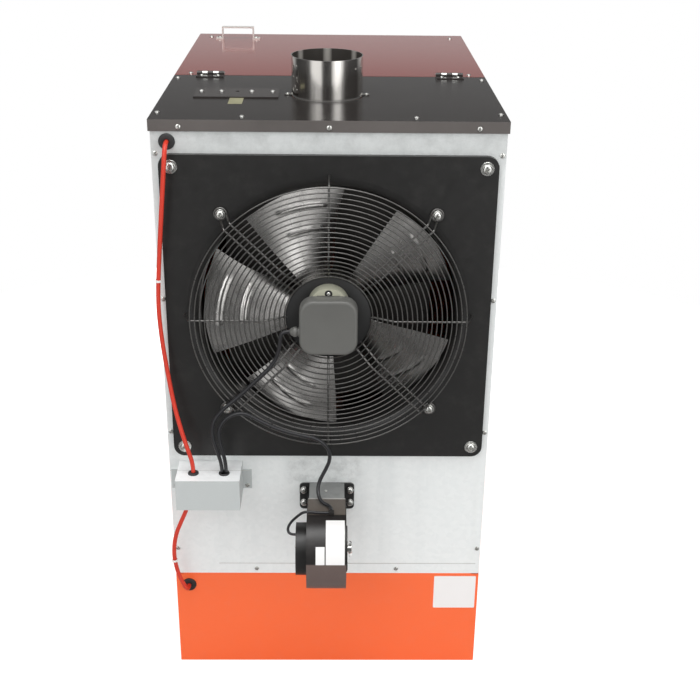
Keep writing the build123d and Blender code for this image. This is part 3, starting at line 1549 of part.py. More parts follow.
with BuildPart() as reset_button:
    rod((button_x, front_y - button_depth, control_z), FRONT, button_r,
        button_depth + control_sheet + button_travel)
    rod((button_x, front_y - button_depth, control_z), FRONT, button_r + control_sheet, control_sheet)
reset_button.part.label = "reset_button"
export_step(reset_button.part, "parts/reset_button.step")

with BuildPart() as limit_thermostat:
    block(
        (-inner_x, thermostat_y, thermostat_z),
        (-inner_x + thermostat_width, thermostat_y + thermostat_depth, thermostat_z + thermostat_height),
    )
limit_thermostat.part.label = "limit_thermostat"
export_step(limit_thermostat.part, "parts/limit_thermostat.step")

# Fuel pump on the deck with its motor, and the suction and feed pipes
with BuildPart() as fuel_pump:
    block(
        (pump_x - pump_width / 2, pump_y - pump_depth / 2, deck_top),
        (pump_x + pump_width / 2, pump_y + pump_depth / 2, deck_top + pump_height),
    )
    fillet(fuel_pump.edges().filter_by(Axis.Z), radius=screw_head_r)
    motor_z = deck_top + pump_height / 2
    rod((pump_x, pump_y - pump_depth / 2, motor_z), REAR, pump_motor_r, pump_motor_length)
fuel_pump.part.label = "fuel_pump"
export_step(fuel_pump.part, "parts/fuel_pump.step")


def pipe(points):
    """A bent fuel pipe through the given corners."""
    with BuildLine() as path:
        FilletPolyline(*points, radius=fuel_pipe_bend_r)
    with BuildSketch(Plane(origin=path.line @ 0, z_dir=path.line % 0)) as section:
        Circle(fuel_pipe_r)
    sweep(section.sketch, path=path.line)


feed_x = chamber_r - chamber_wall + feed_boss
with BuildPart() as fuel_pipes:
    pipe([
        (pump_x - pump_width / 2, pump_y, fuel_port_z),
        (suction_x, pump_y, fuel_port_z),
        (suction_x, pump_y, sheet + tank_wall + fuel_pipe_bend_r),
    ])
    pipe([
        (pump_x, pump_y + pump_depth / 2, fuel_port_z),
        (pump_x, chamber_y, fuel_port_z),
        (pump_x, chamber_y, feed_z),
        (feed_x, chamber_y, feed_z),
    ])
fuel_pipes.part.label = "fuel_pipes"
export_step(fuel_pipes.part, "parts/fuel_pipes.step")

# Fasteners
with BuildPart() as casing_screws:
    for place in cap_top_screws + lid_screws + hatch_screws + handle_screws:
        if place not in lid_screws + handle_screws:
            screw(place, UP)
    for place in cap_face_screws + rear_screws + deck_screws + ear_screws:
        screw(place, REAR)
    for place in front_upper_screws + front_lower_screws + base_front_screws:
        screw(place, FRONT)
casing_screws.part.label = "casing_screws"
export_step(casing_screws.part, "parts/casing_screws.step")

with BuildPart() as lid_fasteners:
    for place in lid_screws + handle_screws:
        screw(place, UP)
lid_fasteners.part.label = "lid_fasteners"
export_step(lid_fasteners.part, "parts/lid_fasteners.step")

with BuildPart() as mounting_bolts:
    for place in plate_bolts:
        bolt(place, REAR, plate_standoff + sheet + bolt_r, washer_r)
    for place in guard_bolts:
        bolt(place, REAR, 2 * plate_sheet + bolt_r, guard_washer_r)
    for place in blower_bolts:
        bolt(place, REAR, blower_flange_sheet + sheet + bolt_r, bolt_head_r)
mounting_bolts.part.label = "mounting_bolts"
export_step(mounting_bolts.part, "parts/mounting_bolts.step")
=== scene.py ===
"""An oil-fired space heater: camera, light, materials and the pieces that are seen in fine detail."""

import json
import random
from math import atan2, cos, pi, radians, sin, sqrt

import bmesh
import bpy
from mathutils import Matrix, Vector


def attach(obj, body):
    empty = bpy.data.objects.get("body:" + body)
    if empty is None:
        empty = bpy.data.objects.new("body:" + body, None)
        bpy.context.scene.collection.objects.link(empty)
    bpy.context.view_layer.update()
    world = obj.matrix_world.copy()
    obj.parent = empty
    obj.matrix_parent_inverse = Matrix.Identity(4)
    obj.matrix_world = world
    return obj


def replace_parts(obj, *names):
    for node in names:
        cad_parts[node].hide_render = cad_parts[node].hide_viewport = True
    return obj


MM = 0.001
CASING = "casing"
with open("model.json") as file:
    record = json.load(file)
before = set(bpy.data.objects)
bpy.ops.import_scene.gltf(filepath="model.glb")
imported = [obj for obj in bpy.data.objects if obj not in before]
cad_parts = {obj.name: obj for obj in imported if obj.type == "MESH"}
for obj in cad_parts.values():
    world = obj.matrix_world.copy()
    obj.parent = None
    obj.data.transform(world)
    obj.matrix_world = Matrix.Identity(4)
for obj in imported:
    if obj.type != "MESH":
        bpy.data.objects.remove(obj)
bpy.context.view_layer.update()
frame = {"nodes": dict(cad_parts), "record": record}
nodes = frame["nodes"]
scene = bpy.context.scene

# Light levels: all round, in the brightest band and the ceiling of the reflections, and of the floor near
# the object
AMBIENT = 0.72
REFLECTED = 1.25
CEILING = 1.1
FLOOR_NEAR = 0.6

# Places that looks and pieces share, in mm
REAR_Y, TOP_Z = -425.0, 1120.0
FAN_Z = 774.0
FLUE_X, FLUE_Y, FLUE_R, FLUE_TOP = -5.0, -226.0, 65.0, 1192.0

# Camera, at the photograph's angle
CAMERA_PLACE = (7.1, -2363.3, 1576.2)
YAW, PITCH, ROLL = radians(-0.944), radians(24.316), radians(0.679)


def add(name, data):
    """A new object in the scene."""
    obj = bpy.data.objects.new(name, data)
    scene.collection.objects.link(obj)
    return obj


def axes(yaw, pitch, roll):
    """The camera's right, up and forward directions."""
    cy, sy, cp, sp = cos(yaw), sin(yaw), cos(pitch), sin(pitch)
    forward = Vector((-sy * cp, cy * cp, -sp))
    right = Vector((cy, sy, 0))
    up = right.cross(forward)
    across = right * cos(roll) + up * sin(roll)
    return across, up * cos(roll) - right * sin(roll), forward


camera = add("camera", bpy.data.cameras.new("camera"))
right, up, forward = axes(YAW, PITCH, ROLL)
turn = Matrix((right, up, -forward)).transposed().to_4x4()
camera.matrix_world = Matrix.Translation(Vector(CAMERA_PLACE) * MM) @ turn
camera.data.sensor_width = 36
camera.data.lens = 60.33
camera.data.clip_start, camera.data.clip_end = 0.05, 60
scene.camera = camera
scene.view_settings.view_transform = "Standard"


# Nodes
def feed(tree, value, socket):
    """Gives a socket a number, or links another socket to it."""
    if hasattr(value, "links"):
        tree.links.new(value, socket)
    else:
        socket.default_value = value


def maths(tree, operation, *inputs):
    """A maths node fed by sockets or numbers."""
    node = tree.nodes.new("ShaderNodeMath")
    node.operation = operation
    for value, socket in zip(inputs, node.inputs):
        feed(tree, value, socket)
    return node.outputs[0]


def mix(tree, fac, a, b):
    """b where fac is 1, a where it is 0."""
    node = tree.nodes.new("ShaderNodeMix")
    for i, value in ((0, fac), (2, a), (3, b)):
        feed(tree, value, node.inputs[i])
    return node.outputs[0]


def spread(tree, fac, low, high, to_low=0.0, to_high=1.0, smooth=False):
    """fac stretched from low…high to to_low…to_high, and held at both ends."""
    node = tree.nodes.new("ShaderNodeMapRange")
    if smooth:
        node.interpolation_type = "SMOOTHSTEP"
    names = ("Value", "From Min", "From Max", "To Min", "To Max")
    for key, value in zip(names, (fac, low, high, to_low, to_high)):
        feed(tree, value, node.inputs[key])
    return node.outputs["Result"]


class Surface:
    """A node material: helpers that add nodes to its tree and set what is the same all over."""

    def __init__(self, name, colour, rough, metal=0.0, coat=0.0):
        self.material = bpy.data.materials.new(name)
        self.material.use_nodes = True
        self.tree = self.material.node_tree
        self.shader = self.tree.nodes["Principled BSDF"]
        self.set(self.shader, **{"Base Color": (*colour, 1), "Roughness": rough, "Metallic": metal})
        self.set(self.shader, **{"Coat Weight": coat, "Coat Roughness": 0.12})
        self.place = self.tree.nodes.new("ShaderNodeTexCoord").outputs["Object"]
        self.colour = None
        self.height = None

    def set(self, node, **values):
        for key, value in values.items():
            node.inputs[key].default_value = value

    def link(self, a, b):
        self.tree.links.new(a, b)

    def maths(self, operation, *inputs):
        return maths(self.tree, operation, *inputs)

    def product(self, first, *others):
        """All values multiplied together."""
        for other in others:
            first = self.maths("MULTIPLY", first, other)
        return first

    def spread(self, fac, low, high, to_low=0.0, to_high=1.0):
        return spread(self.tree, fac, low, high, to_low, to_high)

    def along(self, axis, vector=None):
        """One coordinate of the object's place, in metres, or of another vector."""
        split = self.tree.nodes.new("ShaderNodeSeparateXYZ")
        self.link(vector or self.place, split.inputs["Vector"])
        return split.outputs[axis]

    def beyond(self, axis, start):
        """How far a point lies past a place in mm, along an axis and in metres."""
        return self.maths("SUBTRACT", self.along(axis), start * MM)

    def length(self, a, b):
        """The length of a vector with the sides a and b."""
        return self.maths("SQRT", self.maths("ADD", self.product(a, a), self.product(b, b)))

    def facing(self, axis, low, high):
        """A share that grows where the surface faces an axis of the object."""
        normal = self.tree.nodes.new("ShaderNodeTexCoord").outputs["Normal"]
        return self.spread(self.along(axis, normal), low, high)

    def noise(self, scale, detail=4.0, rough=0.55, stretch=None):
        """Noise of scale waves to the metre, its coordinates scaled by axis if stretch is given."""
        node = self.tree.nodes.new("ShaderNodeTexNoise")
        self.set(node, Scale=scale, Detail=detail, Roughness=rough)
        place = self.place
        if stretch:
            mapping = self.tree.nodes.new("ShaderNodeMapping")
            self.set(mapping, Scale=stretch)
            self.link(place, mapping.inputs["Vector"])
            place = mapping.outputs["Vector"]
        self.link(place, node.inputs["Vector"])
        return node.outputs["Fac"]

    def cells(self, scale):
        """A random value for each cell, with scale cells to the metre."""
        node = self.tree.nodes.new("ShaderNodeTexVoronoi")
        self.set(node, Scale=scale)
        self.link(self.place, node.inputs["Vector"])
        split = self.tree.nodes.new("ShaderNodeSeparateColor")
        self.link(node.outputs["Color"], split.inputs["Color"])
        return split.outputs["Red"]

    def patches(self):
        """Large soft patches."""
        return self.spread(self.noise(5, 5), 0.35, 0.7)

    def stains(self):
        """Stains about as wide as a hand."""
        return self.spread(self.noise(9, 6, 0.65), 0.45, 0.75)

    def dust(self):
        """Small specks in loose clouds."""
        return self.spread(self.noise(38, 8, 0.7), 0.5, 0.78)

    def tint(self, fac, colour, strength=1.0):
        """Mixes a colour in by fac, over what is there."""
        node = self.tree.nodes.new("ShaderNodeMix")
        node.data_type = "RGBA"
        a, b = node.inputs[6], node.inputs[7]
        feed(self.tree, self.colour or self.shader.inputs["Base Color"].default_value, a)
        b.default_value = (*colour, 1)
        self.link(self.spread(fac, 0, 1, 0, strength), node.inputs[0])
        self.colour = node.outputs[2]
        self.link(self.colour, self.shader.inputs["Base Color"])

    def rough(self, fac, low, high):
        """Roughness between two values, by fac."""
        self.link(self.spread(fac, 0, 1, low, high), self.shader.inputs["Roughness"])

    def metallic(self, fac, low, high):
        """How metallic the surface is, between two values, by fac."""
        self.link(self.spread(fac, 0, 1, low, high), self.shader.inputs["Metallic"])

    def bump(self, fac, depth, strength=1.0):
        """Stands the surface out by fac, depth metres at most."""
        node = self.tree.nodes.new("ShaderNodeBump")
        self.set(node, Distance=depth, Strength=strength)
        self.link(fac, node.inputs["Height"])
        if self.height is not None:
            self.link(self.height, node.inputs["Normal"])
        self.height = node.outputs["Normal"]
        self.link(self.height, self.shader.inputs["Normal"])

    def sprayed(self, low, high, peel):
        """Uneven gloss between two roughnesses, and orange peel."""
        self.rough(self.noise(60, 5), low, high)
        self.bump(self.noise(900, 3), peel, 0.5)


# Materials
DUST = (0.5, 0.47, 0.44)


def painted(name, colour, rough=0.35, coat=0.0, peel=0.00006, dusty=0.05, shade=0.14):
    """Powder coat: orange peel, a little dust and darker patches."""
    s = Surface(name, colour, rough, 0, coat)
    s.tint(s.patches(), tuple(c * 0.72 for c in colour), shade)
    s.tint(s.dust(), DUST, dusty)
    s.sprayed(rough * 0.75, rough * 1.3, peel)
    return s.material


def metal(name, colour, rough, stretch=None, marks=0.25, grain=300, metallic=1.0, tone=0.6):
    """Bare metal: brushed or turned grain along one direction, with stains."""
    s = Surface(name, colour, rough, metallic)
    s.tint(s.stains(), tuple(c * tone for c in colour), marks)
    lines = s.noise(grain, 3, 0.5, stretch)
    s.rough(lines, rough * 0.65, rough * 1.5)
    s.bump(lines, 0.00003, 0.35)
    return s.material


def plastic(name, colour, rough, grain=900, depth=0.00003, worn=0.24):
    """Moulded plastic or rubber: fine grain and paler worn patches."""
    s = Surface(name, colour, rough)
    s.tint(s.spread(s.noise(14, 5), 0.4, 0.75), tuple(min(1, c * 1.5 + 0.02) for c in colour), worn)
    s.rough(s.noise(45, 4), rough * 0.8, rough * 1.25)
    s.bump(s.noise(grain, 3), depth, 0.5)
    return s.material


def galvanised():
    """Galvanised sheet: spangle cells that differ in brightness and gloss, and faint streaks; painted shade
    that darkens it higher up and most in a cloudy strip under the cover; and a darker cloudy patch over the
    blower."""
    # dull is the grey of the painted shade higher up and of the darker patch over the blower
    dark, dull = (0.70, 0.74, 0.74), (0.475, 0.49, 0.485)
    s = Surface("galvanised_sheet", (0.95, 0.98, 0.97), 0.4, 0.22)
    cell, fine = s.cells(130), s.spread(s.cells(351), 0.4, 1.0)
    streak = s.spread(s.noise(3.0, 4, 0.6, (9, 9, 1)), 0.45, 0.75)
    cloud = s.spread(s.noise(26, 9, 0.75), 0.42, 0.66)
    height = s.along("Z")
    panel, strip = s.spread(height, 0.2, 1.12), s.spread(height, 1.04, 1.08)
    painted_shade_clouds = s.product(s.spread(height, 1.03, 1.09), cloud)
    over = s.product(s.spread(height, 0.41, 0.43), s.spread(height, 0.485, 0.465))
    beside = s.spread(s.maths("ABSOLUTE", s.beyond("X", -8)), 0.078, 0.06)
    s.tint(cell, dark, 0.2)
    s.tint(fine, (1, 1, 1), 0.12)
    s.tint(streak, dark, 0.25)
    # Painted shade: darker higher up over the whole panel, and more so in a cloudy strip under the cover
    s.tint(panel, dull, 0.26)
    s.tint(strip, dull, 0.45)
    s.tint(painted_shade_clouds, dull, 0.75)
    # A darker cloudy patch over the blower
    s.tint(s.product(beside, over, cloud), dull, 0.7)
    s.rough(cell, 0.32, 0.54)
    s.bump(s.noise(700, 3), 0.00003, 0.4)
    return s.material


def nylon():
    """Nylon: white on the red cables at the left side, black elsewhere."""
    s = Surface("tie_nylon", (0.02, 0.02, 0.02), 0.4)
    s.tint(s.spread(s.along("X"), -0.24, -0.26), (0.80, 0.80, 0.78))
    s.rough(s.noise(80, 4), 0.3, 0.5)
    s.bump(s.noise(500, 3), 0.00003, 0.5)
    return s.material


def cover_coat():
    """Glossy charcoal coat, a little dusty, and paler where the fold faces the rear as a painted highlight.
    """
    s = Surface("cover_coat", (0.022, 0.019, 0.0175), 0.2)
    s.set(s.shader, **{"Specular IOR Level": 0.4})
    # Painted highlight: the fold is paler where it faces the rear
    s.tint(s.facing("Y", -0.5, -0.9), (0.130, 0.118, 0.112))
    s.tint(s.patches(), (0.016, 0.014, 0.013), 0.3)
    s.tint(s.dust(), DUST, 0.02)
    s.sprayed(0.15, 0.26, 0.000004)
    return s.material


def neck_coat():
    """Black coat, painted pale where it faces up as a painted highlight."""
    s = Surface("neck_coat", (0.018, 0.018, 0.018), 0.36)
    # Painted highlight on the faces that look up
    s.tint(s.facing("Z", 0.5, 0.9), (0.22, 0.225, 0.22))
    s.tint(s.spread(s.noise(60, 6), 0.5, 0.8), (0.05, 0.05, 0.05), 0.3)
    s.sprayed(0.3, 0.45, 0.00003)
    return s.material


def wire_coat():
    """Glossy black wire; the flat plate in the guard's middle is dull."""
    s = Surface("wire_coat", (0.17, 0.166, 0.16), 0.2, 1.0)
    near_axis = s.spread(s.length(s.along("X"), s.beyond("Z", FAN_Z)), 0.0768, 0.0764)
    past_face = s.spread(s.along("Y"), -0.4500, -0.4492)
    middle = s.product(near_axis, past_face)
    s.tint(s.stains(), (0.12, 0.117, 0.114), 0.3)
    s.tint(middle, (0.004, 0.004, 0.004))
    s.metallic(middle, 1.0, 0.0)
    s.rough(s.maths("MAXIMUM", s.noise(300, 3), middle), 0.14, 0.5)
    s.bump(s.noise(900, 3), 0.00001, 0.3)
    return s.material


def scroll_coat():
    """Dark coat of the scroll, nearly black above and a paler brown-grey under the outlet band, where the
    paler colour is a painted reflection of the floor.
    """
    # The brown-grey base colour is a painted reflection of the floor on the lower scroll; the tint below
    # makes it nearly black above
    s = Surface("scroll_coat", (0.125, 0.090, 0.080), 0.36)
    s.tint(s.spread(s.along("Z"), 0.3625, 0.3645), (0.014, 0.012, 0.0115))
    s.tint(s.dust(), (0.4, 0.37, 0.34), 0.04)
    s.sprayed(0.28, 0.42, 0.00003)
    return s.material


def box_sheet():
    """Thin zinc sheet of the junction box, with a painted highlight that makes it nearly white where it faces
    up.
    """
    s = Surface("box_sheet", (0.54, 0.57, 0.565), 0.5, 0.1)
    # Painted highlight on the faces that look up
    s.tint(s.facing("Z", 0.5, 0.9), (0.98, 1.0, 1.0))
    s.tint(s.cells(120), (0.50, 0.53, 0.53), 0.1)
    s.rough(s.noise(60, 5), 0.38, 0.55)
    s.bump(s.noise(700, 3), 0.00003, 0.4)
    return s.material


def front_coat():
    """The front panel's red coat, painted nearly black as painted shade on the side that faces into the
    casing.
    """
    s = Surface("front_coat", (0.20, 0.030, 0.026), 0.2, coat=0.3)
    # Painted shade: the inside face of the panel is nearly black
    s.tint(s.facing("Y", -0.5, -0.9), (0.012, 0.011, 0.010))
    s.tint(s.dust(), DUST, 0.03)
    s.sprayed(0.15, 0.3, 0.00001)
    return s.material


def flue_steel():
    """Polished stainless; inside, a darker and duller skin, with painted highlights as soft upright bands on
    its far wall.
    """
    s = Surface("flue_steel", (0.62, 0.60, 0.57), 0.1, 1.0)
    dx, dy = s.beyond("X", FLUE_X), s.beyond("Y", FLUE_Y)
    inside = s.spread(s.length(dx, dy), 0.0645, 0.0635)
    wave = s.maths("COSINE", s.maths("MULTIPLY", s.maths("ARCTAN2", dx, dy), 7.0))
    far, high = s.spread(dy, 0.0, 0.04), s.spread(s.along("Z"), 1.13, 1.17)
    s.tint(s.stains(), (0.38, 0.37, 0.35), 0.15)
    s.tint(inside, (0.055, 0.05, 0.045))
    # Painted highlights: soft upright bands on the far inside wall
    s.tint(s.product(inside, s.spread(wave, 0.56, 1.0), far, high), (0.42, 0.40, 0.37))
    s.metallic(inside, 1.0, 0.2)
    lines = s.noise(600, 3, 0.5, (1, 1, 0.04))
    s.rough(s.maths("MAXIMUM", lines, inside), 0.065, 0.28)
    s.bump(lines, 0.00003, 0.35)
    return s.material


# Looks by material slot, then those of single nodes and pieces
LOOKS = {
    "painted_orange": painted("orange_coat", (0.98, 0.150, 0.035), 0.42, 0.1, dusty=0.03, shade=0.06),
    "painted_red": painted("red_coat", (0.265, 0.038, 0.027), 0.12, 0.7, 0.000003, 0.03, 0.08),
    "painted_charcoal": painted("charcoal_coat", (0.040, 0.035, 0.033), 0.2, 0, 0.000004, 0.02, 0.06),
    "painted_black": painted("black_coat", (0.014, 0.0135, 0.013), 0.36, dusty=0.02),
    "galvanised": galvanised(),
    "zinc": metal("bright_zinc", (0.74, 0.74, 0.71), 0.26, marks=0.35, grain=400),
    "stainless": metal("polished_stainless", (0.62, 0.60, 0.57), 0.10, (1, 1, 0.04), 0.15, 600),
    "black_wire": wire_coat(),
    "motor_cast": metal("cast_alloy", (0.66, 0.66, 0.52), 0.35, marks=0.4, grain=500, metallic=0.5),
    "dark_steel": metal("dark_steel", (0.42, 0.41, 0.396), 0.24, marks=0.4, grain=30, tone=0.4),
    "cover_plastic": plastic("cover_plastic", (0.115, 0.115, 0.107), 0.42, 1400, 0.00004, 0.09),
    "black_plastic": plastic("black_plastic", (0.02, 0.02, 0.02), 0.3),
    "heat_steel": metal("heated_steel", (0.10, 0.095, 0.09), 0.5, marks=0.6, grain=200),
    "cast_iron": metal("cast_iron_skin", (0.09, 0.085, 0.085), 0.7, marks=0.5, grain=600, metallic=0.7),
    "tank_paint": painted("tank_coat", (0.03, 0.03, 0.03), 0.5),
    "copper": metal("copper_pipe", (0.70, 0.32, 0.18), 0.25, marks=0.4),
    "black_rubber": plastic("black_rubber", (0.02, 0.02, 0.021), 0.62, 800, 0.00006),
    "red_sheath": plastic("red_sheath", (0.60, 0.035, 0.015), 0.36, 600),
    "black_sheath": plastic("black_sheath", (0.016, 0.016, 0.018), 0.34, 600),
    "tie_nylon": nylon(),
    "switch_red": plastic("switch_red", (0.45, 0.02, 0.012), 0.28),
}
HANDLE = metal("handle_zinc", (0.90, 0.88, 0.84), 0.35, marks=0.2, grain=400, metallic=0.5)
OWN_LOOKS = {
    "junction_box": box_sheet(),
    "blower_scroll": scroll_coat(),
    "blower_flange": neck_coat(),
    "top_cover": cover_coat(),
    "lid_handle": HANDLE,
    "front_panel": front_coat(),
    "flue_spigot": flue_steel(),
    "hinge_cover_leaves": LOOKS["painted_charcoal"],
}
BAND = painted("band_coat", (0.105, 0.088, 0.074), 0.42)
# Light grey: the blower neck's gasket, where it also stands in for a highlight, and the seams by the panel
# and box
SEAM = plastic("seam_gasket", (0.42, 0.41, 0.39), 0.5, 700)
LABEL = plastic("label_paper", (0.84, 0.83, 0.82), 0.5, 500, 0.00002, 0.06)
STICKER = plastic("sticker_film", (0.26, 0.25, 0.15), 0.4, 500, 0.00002, 0.6)

slot_of = {part["node"]: part["material_slot"] for part in frame["record"]["subparts"]}
for name, obj in nodes.items():
    obj.data.materials.clear()
    obj.data.materials.append(OWN_LOOKS.get(name) or LOOKS[slot_of[name]])


# Places and outlines, in mm
UP, REAR, FRONT, RIGHT, LEFT = (0, 0, 1), (0, -1, 0), (0, 1, 0), (1, 0, 0), (-1, 0, 0)


def turns(steps):
    """The angles of a full turn in equal steps."""
    return [2 * pi * i / steps for i in range(steps)]


def both(centre, half):
    """Two places, as far on either side of a centre."""
    return centre - half, centre + half


def frame_at(start, axis):
    """A matrix whose Z is axis and whose origin is start."""
    z = Vector(axis).normalized()
    turn = z.to_track_quat("Z", "Y").to_matrix().to_4x4()
    return Matrix.Translation(Vector(start) * MM) @ turn


def rounded(half_x, half_y, radius, steps=5):
    """The outline of a rectangle round the origin, with rounded corners."""
    corners = [(-half_x, -half_y), (half_x, -half_y), (half_x, half_y), (-half_x, half_y)]
    out = []
    for k, (x, y) in enumerate(corners):
        centre_x = x - radius if x > 0 else x + radius
        centre_y = y - radius if y > 0 else y + radius
        for i in range(steps + 1):
            a = pi + (k + i / steps) * pi / 2
            out.append((centre_x + radius * cos(a), centre_y + radius * sin(a)))
    return out


# Meshes: bm takes new points in metres, and sizes are given in mm
def piece(name, bm, slot, body=CASING, smooth=30, material=None):
    """A mesh made in the row frame, finished and riding on a body."""
    mesh = bpy.data.meshes.new(name)
    bmesh.ops.recalc_face_normals(bm, faces=bm.faces)
    bm.to_mesh(mesh)
    bm.free()
    obj = add(name, mesh)
    mesh.materials.append(material or LOOKS[slot])
    mesh.polygons.foreach_set("use_smooth", [True] * len(mesh.polygons))
    mesh.set_sharp_from_angle(angle=radians(smooth))
    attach(obj, body)
    return obj


def join(bm, a, b):
    """Quads between two rings of as many points."""
    for i in range(len(a)):
        j = (i + 1) % len(a)
        bm.faces.new((a[i], a[j], b[j], b[i]))


def loft(bm, outlines):
    """Skin over outlines of equal count, closed at both ends."""
    rings = [[bm.verts.new(Vector(p) * MM) for p in outline] for outline in outlines]
    for a, b in zip(rings, rings[1:]):
        join(bm, a, b)
    bm.faces.new(rings[0])
    bm.faces.new(rings[-1])


def lathe(bm, start, axis, profile, steps=32, closed=False):
    """A turned form: profile is pairs of radius and height, up the axis from start."""
    place = frame_at(start, axis)
    rings = []
    for r, h in profile:
        spots = [(r * MM * cos(a), r * MM * sin(a)) for a in turns(steps)] if r > 0 else [(0, 0)]
        rings.append([bm.verts.new(place @ Vector((x, y, h * MM))) for x, y in spots])
    pairs = list(zip(rings, rings[1:]))
    if closed:
        pairs.append((rings[-1], rings[0]))
    for a, b in pairs:
        if min(len(a), len(b)) > 1:
            join(bm, a, b)
            continue
        tip, ring = (a[0], b) if len(a) == 1 else (b[0], a)
        for i in range(steps):
            bm.faces.new((tip, ring[i], ring[(i + 1) % steps]))


def tube(bm, points, radius, sides=8, closed=False):
    """A round wire along points, with frames carried along it."""
    points = [Vector(p) * MM for p in points]
    count = len(points)
    rings = []
    normal = None
    for i, p in enumerate(points):
        after = points[(i + 1) % count] if closed or i < count - 1 else p
        before = points[i - 1] if closed or i > 0 else p
        along = (after - before).normalized()
        if normal is None:
            normal = along.orthogonal()
        normal = (normal - along * normal.dot(along)).normalized()
        side = along.cross(normal)
        rings.append([
            bm.verts.new(p + (normal * cos(a) + side * sin(a)) * radius * MM) for a in turns(sides)
        ])
    for a, b in zip(rings, rings[1:]):
        join(bm, a, b)
    if closed:
        last, first = rings[-1], rings[0]
        shift = min(range(sides), key=lambda k: (last[0].co - first[k].co).length)
        join(bm, last, first[shift:] + first[:shift])
    else:
        bm.faces.new(rings[0])
        bm.faces.new(rings[-1])


def plate(bm, outline, place, thick):
    """A flat plate: its outline on place's XY plane, raised by thick."""
    low, high = [
        [bm.verts.new(place @ Vector((x * MM, y * MM, z * MM))) for x, y in outline] for z in (0, thick)
    ]
    join(bm, low, high)
    bm.faces.new(low)
    bm.faces.new(high)


def slab(bm, low, high):
    """A block between two corners."""
    low, high = Vector(low) * MM, Vector(high) * MM
    for v in bmesh.ops.create_cube(bm, size=1)["verts"]:
        v.co = Vector(low[i] + (v.co[i] + 0.5) * (high[i] - low[i]) for i in range(3))


# Cords: the routes that the solids follow, in mm
ROUTES = {
    "red_cable_upper": [
        (-272.6, -428.5, 1082), (-272.6, -443, 1082), (-273, -454, 1071), (-274.5, -458, 1053),
        (-277.5, -459, 1022), (-283, -458, 970), (-292, -455, 885), (-299, -454, 802),
        (-296, -455, 735), (-288.5, -457, 668), (-280, -462, 608), (-268, -468, 555),
        (-256, -474, 515), (-249, -476, 492), (-249, -476, 474.5),
    ],
    "red_cable_lower": [
        (-264, -470, 409), (-264, -470, 394), (-275, -467, 367), (-291, -462, 327),
        (-297, -458, 284), (-294, -456, 249), (-286, -455, 219), (-278, -451, 198),
        (-274.8, -442, 188), (-274.8, -428.5, 188),
    ],
    "fan_cable": [
        (-195.8, -476, 474.5), (-195.8, -476, 489), (-203, -478.5, 520), (-212, -478.5, 552),
        (-208, -479.5, 583), (-188, -479.5, 608), (-160, -479.5, 632), (-126, -479.5, 667),
        (-96, -481, 698), (-86, -486, 728), (-84, -488, 754), (-79, -488, 763), (-67, -488, 763),
    ],
    "blower_cable": [
        (-188.2, -476, 474.5), (-188.2, -476, 489), (-193, -478.5, 520), (-200, -478.5, 548),
        (-196, -479.5, 574), (-178, -479.5, 594), (-152, -479.5, 600), (-122, -478.5, 582),
        (-86, -478.5, 563), (-48, -478.5, 553), (-16, -478.5, 545), (2, -478.5, 525),
        (4, -476, 500), (-6, -475, 476), (-17, -478.5, 455), (-19, -489, 438), (-12, -508, 429),
        (6.5, -519, 427.5), (6.5, -535, 427.5),
    ],
    "blower_lead": [
        (1.5, -540, 427), (-15, -540, 427), (-42, -537, 428), (-55, -532, 415),
        (-68, -530, 400), (-74, -533, 388), (-70, -540, 380), (-58, -540, 380),
    ],
}
# Each cord's radius in mm, length in metres and slot
CORDS = {
    "red_cable_upper": (4.0, 0.6332, "red_sheath"),
    "red_cable_lower": (4.0, 0.2460, "red_sheath"),
    "fan_cable": (3.5, 0.3493, "black_sheath"),
    "blower_cable": (3.5, 0.4760, "black_sheath"),
    "blower_lead": (2.5, 0.1166, "black_sheath"),
}
for name, (radius, length, slot) in CORDS.items():
    route = ROUTES[name]
    curve = bpy.data.curves.new(name + "_line", "CURVE")
    curve.dimensions = "3D"
    curve.resolution_u = 10
    curve.bevel_depth = radius * MM
    curve.bevel_resolution = 5
    curve.use_fill_caps = True
    spline = curve.splines.new("NURBS")
    spline.points.add(len(route) - 1)
    for point, place in zip(spline.points, route):
        point.co = (*(Vector(place) * MM), 1)
    spline.order_u = 3
    spline.use_endpoint_u = True
    cord = add(name + "_line", curve)
    curve.materials.append(LOOKS[slot])
    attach(cord, CASING)
    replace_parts(cord, name)

# Fan guard: round wires laid on the spokes, eyes at their ends, and the hub plate
GUARD_Y, PLATE_Y, HUB_PLATE_Y, EYE_Y = -468.0, -435.0, -449.0, -437.2
INNER_R, OUTER_R, DIP_R, LEG_R, LEG = 78.0, 243.0, 118.0, 254.0, 6.0
RING_COUNT, WIRE_R, SPOKE_R, LEAN = 20, 1.25, 2.0, 20.5
SPOKE_ASIDE, SPOKE_BEND, SPOKE_INSIDE = 7.5, 3.0, 6.0
EYE_R, EYE_WIRE_R, EYE_CIRCLE_R = 10.5, 1.8, 263.0
EYE = EYE_CIRCLE_R / sqrt(2)
HUB_PLATE = [(46.4, 0), (75, 0), (76, 0.8), (76, 2.2), (75, 3), (46.4, 3)]


def around(r, y, angle):
    """A place at a radius and an angle round the fan's axis."""
    return (r * cos(angle), y, FAN_Z + r * sin(angle))


def ring_y(r):
    """Where a ring lies at a radius: on the spokes, which dip towards the motor."""
    dip = max(0, (DIP_R - r) / (DIP_R - INNER_R))
    slope = atan2(LEAN, DIP_R - INNER_R)
    return GUARD_Y + LEAN * dip - (SPOKE_R + WIRE_R) / (cos(slope) if r < DIP_R else 1)


